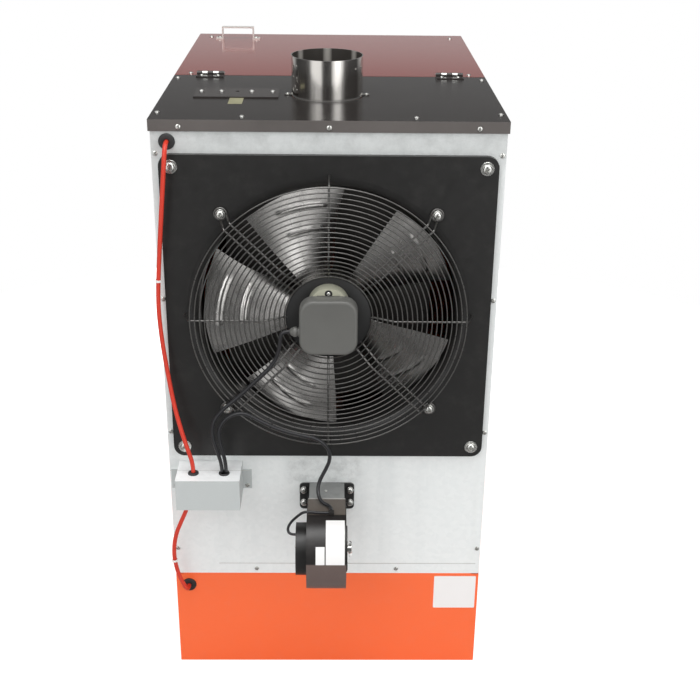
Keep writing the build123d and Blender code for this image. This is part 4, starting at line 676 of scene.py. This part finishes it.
def spoke(angle, aside):
    """A spoke from the hub plate out over the rings and back to the plate, with rounded bends."""
    corners = [
        (INNER_R - SPOKE_INSIDE, GUARD_Y + LEAN), (INNER_R, GUARD_Y + LEAN), (DIP_R, GUARD_Y),
        (OUTER_R + SPOKE_R, GUARD_Y), (LEG_R, PLATE_Y - LEG), (LEG_R, PLATE_Y),
    ]
    line = [corners[0]]
    for before, here, after in zip(corners, corners[1:], corners[2:]):
        b, h, a = Vector(before), Vector(here), Vector(after)
        start = h + (b - h).normalized() * SPOKE_BEND
        end = h + (a - h).normalized() * SPOKE_BEND
        for t in (0, 0.25, 0.5, 0.75, 1):
            p = start * (1 - t) ** 2 + h * 2 * t * (1 - t) + end * t * t
            line.append((p.x, p.y))
    line.append(corners[-1])
    dx, dz = -aside * sin(angle), aside * cos(angle)
    return [(dx + r * cos(angle), y, FAN_Z + dz + r * sin(angle)) for r, y in line]


bm = bmesh.new()
for i in range(RING_COUNT):
    r = INNER_R + i * (OUTER_R - INNER_R) / (RING_COUNT - 1)
    tube(bm, [around(r, ring_y(r), a) for a in turns(144)], WIRE_R, closed=True)
for angle in turns(4):
    tube(bm, spoke(angle, 0), SPOKE_R)
    for aside in both(0, SPOKE_ASIDE):
        tube(bm, spoke(angle + pi / 4, aside), SPOKE_R)
for x in both(0, EYE):
    for z in both(FAN_Z, EYE):
        eye = [(x + EYE_R * cos(a), EYE_Y, z + EYE_R * sin(a)) for a in turns(32)]
        tube(bm, eye, EYE_WIRE_R, closed=True)
lathe(bm, (0, HUB_PLATE_Y, FAN_Z), FRONT, HUB_PLATE, 64, True)
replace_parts(piece("guard_wires", bm, "black_wire", smooth=50), "fan_guard")

# Fan blades: ribbed, cambered steel on a hub ring round the rotor
HUB_R, ROOT_R, TIP_R, BLADE_Y, HUB_Y = 66.1, 67.1, 223.6, -392.0, -419.0
SHEET, EDGE_SHARE, THICKENING = 1.0, 0.25, 6.0
BLADE_COUNT, FIRST_ANGLE, CAMBER, SWEEP = 5, 34.0, 7.0, 10.8
CHORDS, PITCHES = (80, 139, 195), (40, 24.6, 16.7)
HUB_RING = [(HUB_R, 0), (69, 0), (69, 38.6), (68.2, 39), (33, 39), (33, 37), (HUB_R, 37)]
# Ribs: both ends of each, as shares along and across a blade of this length and mean chord
RIB_SHARES = [(0.50, -0.28, 0.56, 0.20), (0.76, -0.30, 0.84, 0.20)]
RIB_HEIGHT, RIB_HALF, BLADE_LENGTH, MEAN_CHORD = 2.2, 3.6, 158, 150


def between(share, low, mid, high):
    """A smooth curve through three values, at shares 0, 0.5 and 1."""
    return low + share * (4 * mid - 3 * low - high) + share * share * (2 * low - 4 * mid + 2 * high)


def rib_height(u, v):
    """Pressed ribs: how far the sheet stands out at a share along and across the blade."""
    top = 0
    for u0, v0, u1, v1 in RIB_SHARES:
        du, dv = (u1 - u0) * BLADE_LENGTH, (v1 - v0) * MEAN_CHORD
        pu, pv = (u - u0) * BLADE_LENGTH, (v - v0) * MEAN_CHORD
        t = max(0, min(1, (pu * du + pv * dv) / (du * du + dv * dv)))
        gap = sqrt((pu - t * du) ** 2 + (pv - t * dv) ** 2)
        top = max(top, RIB_HEIGHT * max(0, 1 - (gap / RIB_HALF) ** 2))
    return top


def blade_point(angle, u, v, face):
    """A place on a blade's front or back skin; the sheet thins towards its edges."""
    r = ROOT_R + u * (TIP_R - ROOT_R)
    chord, pitch = between(u, *CHORDS), radians(between(u, *PITCHES))
    inwards = min(0.5 - abs(v), (1 - u) / 1.2 + 0.02)
    thick = SHEET * min(1, THICKENING * inwards + EDGE_SHARE)
    along = v * chord + SWEEP * sin(pi * u) * (0.5 - v)
    lift = CAMBER * (1 - 4 * v * v) + rib_height(u, v) + face * thick / 2
    t = along * cos(pitch) - lift * sin(pitch)
    y = -along * sin(pitch) - lift * cos(pitch)
    return around(r, BLADE_Y + y, angle + t / r)


def blade(bm, angle, cols=56, rows=40):
    """Front and back skins of one blade, closed at the edges."""
    skins = []
    for face in (-1, 1):
        grid = []
        for i in range(cols + 1):
            places = [blade_point(angle, i / cols, j / rows - 0.5, face) for j in range(rows + 1)]
            grid.append([bm.verts.new(Vector(p) * MM) for p in places])
        skins.append(grid)
        for i in range(cols):
            for j in range(rows):
                quad = (grid[i][j], grid[i + 1][j], grid[i + 1][j + 1], grid[i][j + 1])
                bm.faces.new(quad if face > 0 else quad[::-1])
    edge = [(i, 0) for i in range(cols)] + [(cols, j) for j in range(rows)]
    edge += [(i, rows) for i in range(cols, 0, -1)] + [(0, j) for j in range(rows, 0, -1)]
    under, over = ([skin[i][j] for i, j in edge] for skin in skins)
    join(bm, under, over)


bm = bmesh.new()
for angle in turns(BLADE_COUNT):
    blade(bm, radians(FIRST_ANGLE) + angle)
lathe(bm, (0, HUB_Y, FAN_Z), FRONT, HUB_RING, 72, True)
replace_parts(piece("impeller_blades", bm, "dark_steel", "fan_rotor", smooth=60), "fan_impeller")

# Screws and bolts. Each kind has its head's radius and height, its shank's radius and length and, for
# bolts, its washer's radius and thickness.
HEAD_SIDES = 24
CASING_SCREW = (4.5, 2.4, 2.0, 9)
PLATE_BOLT = (8.5, 5, 4, 15.5, 12, 2)
EYE_BOLT = (7.5, 5, 4, 8, 9, 2)
NECK_BOLT = (6.5, 4.6, 4, 8.5, 7, 2)
MOTOR_SCREW = (3.6, 2.2, 2, 5)
LUG_SCREW = (3.4, 1.8, 1.6, 2.5)
HINGE_SCREW = (3.2, 1.5, 1.4, 1.8)
CLIP_SCREW = (3.0, 1.8, 1.4, 2.5)
SHIELD_SCREW = (3.0, 1.6, 1.4, 2.5)


def screw(bm, place, outward, head_r, head, shank_r, shank, washer_r=0.0, washer=0.0, twist=0.0):
    """A pan head with a cross recess, on a washer if it has one, its shank going in."""
    if washer:
        edge = [(washer_r - 0.4, 0), (washer_r, 0.4), (washer_r, washer - 0.3), (washer_r - 0.3, washer)]
        lathe(bm, place, outward, [(0, 0), *edge, (0, washer)])
    rim = [(head_r, washer), (head_r, washer + head * 0.35), (head_r * 0.9, washer + head * 0.72)]
    rim.append((head_r * 0.66, washer + head * 0.96))
    lathe(bm, place, outward, [(0, -shank), (shank_r, -shank), (shank_r, washer), *rim], HEAD_SIDES)
    bm.verts.ensure_lookup_table()
    ring = bm.verts[len(bm.verts) - HEAD_SIDES:]
    arm, half = head_r * 0.5, head_r * 0.11
    notch = ((arm, -half), (arm, half), (half * 1.3, half * 1.3))
    cross = [(x * cos(a) - y * sin(a), x * sin(a) + y * cos(a)) for a in turns(4) for x, y in notch]
    at = frame_at(place, outward) @ Matrix.Rotation(twist, 4, "Z")
    mouth, floor = [
        [bm.verts.new(at @ Vector((x * share * MM, y * share * MM, z * MM))) for x, y in cross]
        for share, z in ((1, washer + head), (0.6, washer + head * 0.35))
    ]
    join(bm, mouth, floor)
    bm.faces.new(floor)
    edges = [bm.edges.get(ends) for loop in (ring, mouth) for ends in zip(loop, loop[1:] + loop[:1])]
    bmesh.ops.triangle_fill(bm, edges=edges, use_beauty=True)


def screws(bm, kind, places, outward, spin=None):
    """Screws of one kind, each turned by a random draw if spin is given."""
    for place in places:
        screw(bm, place, outward, *kind, twist=spin.random() if spin else 0.0)


def mirrored(x, *rest):
    """Two places, at x on either side of the middle."""
    return [(side, *rest) for side in both(0, x)]


# Faces that screws sit on: the cover's rear fold, the junction box's ears, hinge leaves and hatch plate,
# and the handle's feet; and the screw rows along the casing's edges
FOLD_Y, EAR_Y, LEAF_Z, FOOT_Z = -428, -426.2, 1122, 1123
EDGE_X, EDGE_SHARES = 293, (0.04, 0.5, 0.96)


def front_row(low, high):
    """Screws up both edges of a front panel that reaches from low to high."""
    return [p for share in EDGE_SHARES for p in mirrored(EDGE_X, -REAR_Y, low + share * (high - low))]


COVER_SCREWS = mirrored(147, -405, TOP_Z) + mirrored(EDGE_X, -377, TOP_Z) + mirrored(EDGE_X, -85, TOP_Z)
HATCH_SCREWS = [(x, -212, LEAF_Z) for x in (-234.29, -197.57, -142.49, -104.24)]
FOLD_SCREWS = [(x, FOLD_Y, 1108) for x in (-252, 0, 252)]
DECK_SCREWS = [(x, REAR_Y, 226) for x in (-140, 135)]
REAR_SCREWS = [p for z in (1062, 798, 532, 273.7) for p in mirrored(EDGE_X, REAR_Y, z)]
BOX_SCREWS = [(x, EAR_Y, 417) for x in (-288.5, -153.5)]
CASING_SCREWS = (
    (UP, COVER_SCREWS + HATCH_SCREWS),
    (REAR, FOLD_SCREWS + DECK_SCREWS + REAR_SCREWS + BOX_SCREWS),
    (FRONT, front_row(560, 1100) + front_row(238, 560) + front_row(21.5, 195)),
)
LID_SCREWS = mirrored(273, -38, TOP_Z) + mirrored(273, 386, TOP_Z)
HANDLE_SCREWS = [(x, 363, FOOT_Z) for x in (-251.75, -169.25)]
NECK_X, NECK_HALF = -2.0, 34.0
# Each kind of bolt with the face it sits on, and its places across and up
BOLTS = (
    (PLATE_BOLT, PLATE_Y, both(0, 267.5), both(FAN_Z, 267.5)),
    (EYE_BOLT, -439, both(0, EYE), both(FAN_Z, EYE)),
    (NECK_BOLT, -428, both(NECK_X, 44), both(394.5, 13.5)),
)
spin = random.Random(7)
bm = bmesh.new()
for outward, places in CASING_SCREWS:
    screws(bm, CASING_SCREW, places, outward, spin)
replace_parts(piece("casing_screw_heads", bm, "zinc", smooth=35), "casing_screws")
bm = bmesh.new()
screws(bm, CASING_SCREW, LID_SCREWS + HANDLE_SCREWS, UP, spin)
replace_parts(piece("lid_screw_heads", bm, "zinc", "lid", smooth=35), "lid_fasteners")
bm = bmesh.new()
for kind, y, across, heights in BOLTS:
    screws(bm, kind, [(x, y, z) for x in across for z in heights], REAR, spin)
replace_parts(piece("bolt_heads", bm, "zinc", smooth=35), "mounting_bolts")

# Cable grommets: soft rubber rings round each cable, with a lip and a groove for the sheet
BOX_Y, BOX_TOP = -476, 471
# Each grommet's place, direction, radius and hole
GROMMETS = (
    ((-272.6, REAR_Y, 1082), REAR, 14, 4.2), ((-274.8, REAR_Y, 187.6), REAR, 14, 4.2),
    ((-249, BOX_Y, BOX_TOP), UP, 10, 4.2), ((-192, BOX_Y, BOX_TOP), UP, 10, 7.6),
)
bm = bmesh.new()
for place, outward, r, hole in GROMMETS:
    profile = [
        (hole, 3.0), (hole + 1.2, 3.5), (r * 0.86, 3.3), (r * 0.97, 2.4), (r, 1.2), (r, 0.05),
        (r * 0.8, 0.05), (r * 0.78, -2), (r * 0.9, -2), (r * 0.86, -3.4), (hole, -3.4),
    ]
    lathe(bm, place, outward, profile, 40, True)
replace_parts(piece("grommet_rings", bm, "black_rubber", smooth=50), "cable_grommets")

# Terminal cover with its soft front edge and its seam, and the cable gland
COVER_HALF, COVER_R, GLAND_PLACE = 51.0, 25.0, (-50, -488, 763)
# Depths of the cover's outlines, and how far each is drawn in
COVER_STEPS = [
    (-475, 0.0), (-481, 0.0), (-481.3, 0.5), (-482.1, 0.5), (-482.4, 0.0),
    (-496.0, 0.3), (-499.2, 1.3), (-500.6, 3.0), (-501.0, 5.4), (-500.7, 7.0),
]
GLAND = [
    (0, 0), (8.4, 0), (8.4, 3), (6.6, 3.6), (6.6, 5), (9, 5.4), (9, 10.4), (7.4, 12.6), (6, 15.6), (4, 17),
    (0, 17),
]


def cover_outline(y, inset):
    """The cover's outline at a depth, drawn in by an inset."""
    half = COVER_HALF - inset
    return [(x, y, FAN_Z + z) for x, z in rounded(half, half, COVER_R - inset * 0.6, 9)]


bm = bmesh.new()
loft(bm, [cover_outline(y, inset) for y, inset in COVER_STEPS])
lathe(bm, GLAND_PLACE, LEFT, GLAND, 24)
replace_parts(piece("terminal_cover_shell", bm, "cover_plastic", smooth=35), "fan_terminal_cover")

# Motor flange details: the lug's screw, a flat black disc round it that is painted shade in place of a
# recess, and the seam across it
LUG_PLACE = (0, -475, 829)
RECESS_SHADE = [(0, 0), (6.6, 0), (6.6, 0.25), (0, 0.25)]
FLANGE_SEAM = (-20, -475.3, 824.4), (20, -474.9, 825.6)
bm = bmesh.new()
screw(bm, LUG_PLACE, REAR, *MOTOR_SCREW)
piece("flange_screw", bm, "zinc", smooth=35)
bm = bmesh.new()
# Painted shade: a thin black disc round the screw stands in for a recess
lathe(bm, LUG_PLACE, REAR, RECESS_SHADE)
slab(bm, *FLANGE_SEAM)
piece("flange_recess_shade", bm, "black_plastic")

# Flue: rolled rim, lap seam with its rivets, and the lugs' screws
RIM_R = 1.0
RIVET = [(0, -0.5), (1.9, -0.5), (1.9, 0.3), (1.2, 1.0), (0, 1.2)]
SEAM_ANGLES, SEAM_HEIGHTS, SEAM_RADII = (200, 218), (1124.4, 1190.4), (FLUE_R - 0.1, FLUE_R + 0.5)
SEAM_RIVET_ANGLES, SEAM_RIVET_HEIGHTS = (203.5, 214.5), (1136, 1157, 1178)
SIDE_RIVET_ANGLES, SIDE_RIVET_HEIGHT = (322, 340), 1174
LUG_ASIDE, LUG_Z = 71.5, 1121.5


def on_flue(r, a, z):
    """A place at a radius and an angle round the flue's axis."""
    return FLUE_X + r * cos(a), FLUE_Y + r * sin(a), z


def rivet(bm, degree, z, r):
    """A rivet that faces out from the flue's axis."""
    a = radians(degree)
    lathe(bm, on_flue(r, a, z), (cos(a), sin(a), 0), RIVET, 14)


def bent(steps, first, last, section):
    """Sections in equal steps between two angles in degrees."""
    return [section(radians(first + (last - first) * k / steps)) for k in range(steps + 1)]


def seam_section(a):
    """The lap strip's four corners at an angle."""
    (low, high), (z0, z1) = SEAM_RADII, SEAM_HEIGHTS
    return [on_flue(r, a, z) for r, z in ((low, z0), (high, z0), (high, z1), (low, z1))]


bm = bmesh.new()
tube(bm, [on_flue(FLUE_R - RIM_R, a, FLUE_TOP - RIM_R) for a in turns(120)], RIM_R, closed=True)
piece("flue_rim", bm, "stainless", smooth=50, material=HANDLE)
bm = bmesh.new()
loft(bm, bent(10, *SEAM_ANGLES, seam_section))
for z in SEAM_RIVET_HEIGHTS:
    for degree in SEAM_RIVET_ANGLES:
        rivet(bm, degree, z, FLUE_R + 0.4)
for degree in SIDE_RIVET_ANGLES:
    rivet(bm, degree, SIDE_RIVET_HEIGHT, FLUE_R)
piece("flue_seam", bm, "stainless", smooth=40)
bm = bmesh.new()
screws(bm, LUG_SCREW, [(x, FLUE_Y, LUG_Z) for x in both(FLUE_X, LUG_ASIDE)], UP)
piece("flue_lug_screws", bm, "zinc", smooth=35)

# Hinge screws, two to a leaf
HINGE_X, HINGE_SCREW_ASIDE = 233, 16
HINGE_PLACES = [x for hinge in both(0, HINGE_X) for x in both(hinge, HINGE_SCREW_ASIDE)]
for name, y, body in (("hinge_screws_rear", -68, CASING), ("hinge_screws_lid", -40.5, "lid")):
    bm = bmesh.new()
    screws(bm, HINGE_SCREW, [(x, y, LEAF_Z) for x in HINGE_PLACES], UP)
    piece(name, bm, "zinc", body, smooth=35)

# Blower: a gasket seam, light grey to stand in for the highlight along the neck's end, the band over the
# scroll's outlet, blank plates, the clip's and the motor shield's screws, and the knurled nut of the air
# shutter
SCROLL_Y, SCROLL_Z, SCROLL_R = -542.0, 351.0, 72.0
NUT = [(0, 0), (6, 0), (6, 2), (9, 2.2), (9, 7.4), (8, 8.2), (0, 8.2)]
# A wire of the nut's knurled rim: places along the blower's axis, and radii
KNURL, KNURL_COUNT, KNURL_R = [(43.2, 7.5), (43.2, 13), (40.5, 14.5)], 10, 0.8
SHIELD_X, SHIELD_SCREWS_R, SHIELD_ANGLES = -58, 36, (160, 40, -80)
NUT_X, CLIP_SCREW_PLACE = 36.5, (-3.5, -457, 423)
# Blocks across the neck: how far each stands out beside it, and its corners in depth and height
# The gasket is light grey as a painted highlight: it stands in for the bright line along the neck's end
GASKET_AND_HIGHLIGHT = ((0.4, (-487.4, 364.6), (-485.2, 424.4)),)
BAND_TOP_AND_LIP = ((0.6, (-541, 422.9), (-488.0, 423.5)), (0.6, (-541.4, 421.8), (-540.4, 423.5)))
# Blank plates on the scroll: both ends along the axis, and the angles between which they are bent
BLANK_PLATES = ((-3, 31, 10, 78), (-21, -5, 10, 36))


def on_scroll(x, r, a):
    """A place at a radius round the scroll's axis, a being the angle up from the rear."""
    return x, SCROLL_Y - r * cos(a), SCROLL_Z + r * sin(a)


def scroll_plate(bm, x0, x1, first, last, thick=0.25):
    """A plate bent over the scroll, between two angles in degrees."""
    low, high = SCROLL_R - 0.05, SCROLL_R + thick
    corners = ((x0, low), (x1, low), (x1, high), (x0, high))
    loft(bm, bent(16, first, last, lambda a: [on_scroll(x, r, a) for x, r in corners]))


for name, blocks, slot, material in (
    ("blower_gasket", GASKET_AND_HIGHLIGHT, "black_rubber", SEAM), ("blower_band", BAND_TOP_AND_LIP, "painted_black", BAND),
):
    bm = bmesh.new()
    for proud, low, high in blocks:
        x0, x1 = both(NECK_X, NECK_HALF + proud)
        slab(bm, (x0, *low), (x1, *high))
    piece(name, bm, slot, material=material)
bm = bmesh.new()
for ends_and_angles in BLANK_PLATES:
    scroll_plate(bm, *ends_and_angles)
piece("blower_plates", bm, "tie_nylon", material=LABEL)
bm = bmesh.new()
screw(bm, CLIP_SCREW_PLACE, UP, *CLIP_SCREW)
screws(bm, SHIELD_SCREW, [on_scroll(SHIELD_X, SHIELD_SCREWS_R, radians(d)) for d in SHIELD_ANGLES], LEFT)
piece("blower_screws", bm, "zinc", smooth=35)
bm = bmesh.new()
lathe(bm, on_scroll(NUT_X, 0, 0), RIGHT, NUT, 24)
for a in turns(KNURL_COUNT):
    tube(bm, [on_scroll(x, r, a) for x, r in KNURL], KNURL_R, 6)
piece("shutter_nut", bm, "zinc", "blower_shutter", smooth=50)

# The rear panel's lower edge over the deck's upstand, and the seam on top of the junction box
PANEL_EDGE = (-214, -425.3, 237.4), (292, -424.9, 238.4)
BOX_SEAM = (-296.4, -465.0, 470.8), (-145.6, -464.2, 471.12)
bm = bmesh.new()
slab(bm, *PANEL_EDGE)
slab(bm, *BOX_SEAM)
piece("panel_seam", bm, "black_rubber", material=SEAM)

# Blank rating label on the base and blank sticker by the hatch plate: place, direction, half sizes,
# corner radius and thickness
BLANKS = (
    ("rating_label", LABEL, (253.5, REAR_Y, 170), REAR, (41.5, 38), 2, 0.25),
    ("hatch_sticker", STICKER, (-166.5, -284, TOP_Z), UP, (12.5, 24), 1.2, 0.2),
)
for name, material, place, outward, half, corner, thick in BLANKS:
    bm = bmesh.new()
    plate(bm, rounded(*half, corner), frame_at(place, outward), thick)
    piece(name, bm, "tie_nylon", material=material)

# Small rounded edges on cast and moulded pieces, in mm, so that they catch the light
EDGES = {
    "blower_motor": 1.5, "fuel_pump": 1.2, "fan_rotor": 1.5, "filler_cap": 1.2, "power_switch": 0.8,
    "thermostat_knob": 1.2, "reset_button": 0.8,
}
for name, width in EDGES.items():
    bevel = nodes[name].modifiers.new("edges", "BEVEL")
    bevel.width = width * MM
    bevel.segments = 2
    bevel.limit_method = "ANGLE"
    bevel.angle_limit = radians(40)
    bevel.harden_normals = True
    bevel.use_clamp_overlap = True

# Bands of the studio that reflections show: degrees round from the camera's side, and brightness
BANDS = [
    (0, 0.05), (12, 0.05), (21, 1), (46, 1), (60, 0.12), (70, 0.06), (108, 0.05), (128, 0.41), (180, 0.41),
]
# Past FAR_SIDE of the half turn the bands fade to FADED over these heights, and the ceiling starts over its
# own; a height is the sine of the angle above the horizon
FAR_SIDE, FADED, FADE_HEIGHTS, CEILING_HEIGHTS = 0.62, 0.22, (0.174, 0.193), (0.55, 0.75)
WHITE = (1, 1, 1, 1)


def studio():
    """Even light all round, white to the camera, with upright bands and a ceiling in reflections."""
    scene.world = bpy.data.worlds.new("studio")
    scene.world.use_nodes = True
    tree = scene.world.node_tree
    split = tree.nodes.new("ShaderNodeSeparateXYZ")
    tree.links.new(tree.nodes.new("ShaderNodeTexCoord").outputs["Generated"], split.inputs["Vector"])
    across, away, height = split.outputs
    turned = maths(tree, "ARCTAN2", maths(tree, "ABSOLUTE", across), maths(tree, "MULTIPLY", away, -1))
    share = maths(tree, "DIVIDE", turned, pi)
    ramp = tree.nodes.new("ShaderNodeValToRGB")
    ramp.color_ramp.interpolation = "EASE"
    stops = ramp.color_ramp.elements
    while len(stops) < len(BANDS):
        stops.new(0.5)
    for stop, (degree, bright) in zip(stops, BANDS):
        stop.position = degree / 180
        stop.color = (bright, bright, bright, 1)
    tree.links.new(share, ramp.inputs["Fac"])
    far_side = maths(tree, "GREATER_THAN", share, FAR_SIDE)
    faded = mix(tree, far_side, 1.0, spread(tree, height, *FADE_HEIGHTS, 1, FADED, smooth=True))
    bands = maths(tree, "MULTIPLY", maths(tree, "MULTIPLY", ramp.outputs["Color"], REFLECTED), faded)
    ceiling = spread(tree, height, *CEILING_HEIGHTS, 0, CEILING, smooth=True)
    path = tree.nodes.new("ShaderNodeLightPath")
    level = mix(tree, path.outputs["Is Glossy Ray"], AMBIENT, maths(tree, "MAXIMUM", bands, ceiling))
    back = tree.nodes["Background"]
    back.inputs["Color"].default_value = WHITE
    tree.links.new(mix(tree, path.outputs["Is Camera Ray"], level, 1.0), back.inputs["Strength"])


def paper(near=0.5, far=1.6, shade=0.84, reflected_shade=0.25):
    """White paper that glows to the camera, fully so past far metres, and is darker in reflections."""
    material = bpy.data.materials.new("floor_paper")
    material.use_nodes = True
    tree = material.node_tree
    shader = tree.nodes["Principled BSDF"]
    for key, value in (("Roughness", 0.9), ("Specular IOR Level", 0), ("Emission Color", WHITE)):
        shader.inputs[key].default_value = value
    away = tree.nodes.new("ShaderNodeVectorMath")
    away.operation = "LENGTH"
    tree.links.new(tree.nodes.new("ShaderNodeTexCoord").outputs["Object"], away.inputs[0])
    path = tree.nodes.new("ShaderNodeLightPath")
    glow = spread(tree, away.outputs["Value"], near, far, FLOOR_NEAR, 1.0, smooth=True)
    glow = maths(tree, "MULTIPLY", glow, path.outputs["Is Camera Ray"])
    tree.links.new(glow, shader.inputs["Emission Strength"])
    shade = mix(tree, path.outputs["Is Glossy Ray"], shade, reflected_shade)
    tree.links.new(shade, shader.inputs["Base Color"])
    return material


def lamp(name, place, target, size, power):
    """A soft box: its place, what it points at and its size in metres, and its power in watts."""
    light = bpy.data.lights.new(name, "AREA")
    light.shape = "RECTANGLE"
    light.size, light.size_y = size
    light.energy = power
    obj = add(name, light)
    obj.location = place
    obj.rotation_euler = (Vector(target) - Vector(place)).to_track_quat("-Z", "Y").to_euler()


# Background, floor and lamps
studio()
FLOOR_R, FLOOR_SIDES = 2.0, 96
mesh = bpy.data.meshes.new("floor")
ring = [(FLOOR_R * cos(a), FLOOR_R * sin(a), 0) for a in turns(FLOOR_SIDES)]
mesh.from_pydata(ring, [], [tuple(range(FLOOR_SIDES))])
mesh.materials.append(paper())
add("floor", mesh)
lamp("key_light", (-1.5, -3.2, 2.9), (0, 0, 0.7), (1.4, 1.8), 24)
lamp("fill_light", (1.9, -3.0, 1.5), (0, 0, 0.6), (1.2, 2.0), 14)
lamp("top_light", (0.2, -1.1, 3.5), (0, -0.3, 0.8), (2.4, 1.6), 46)
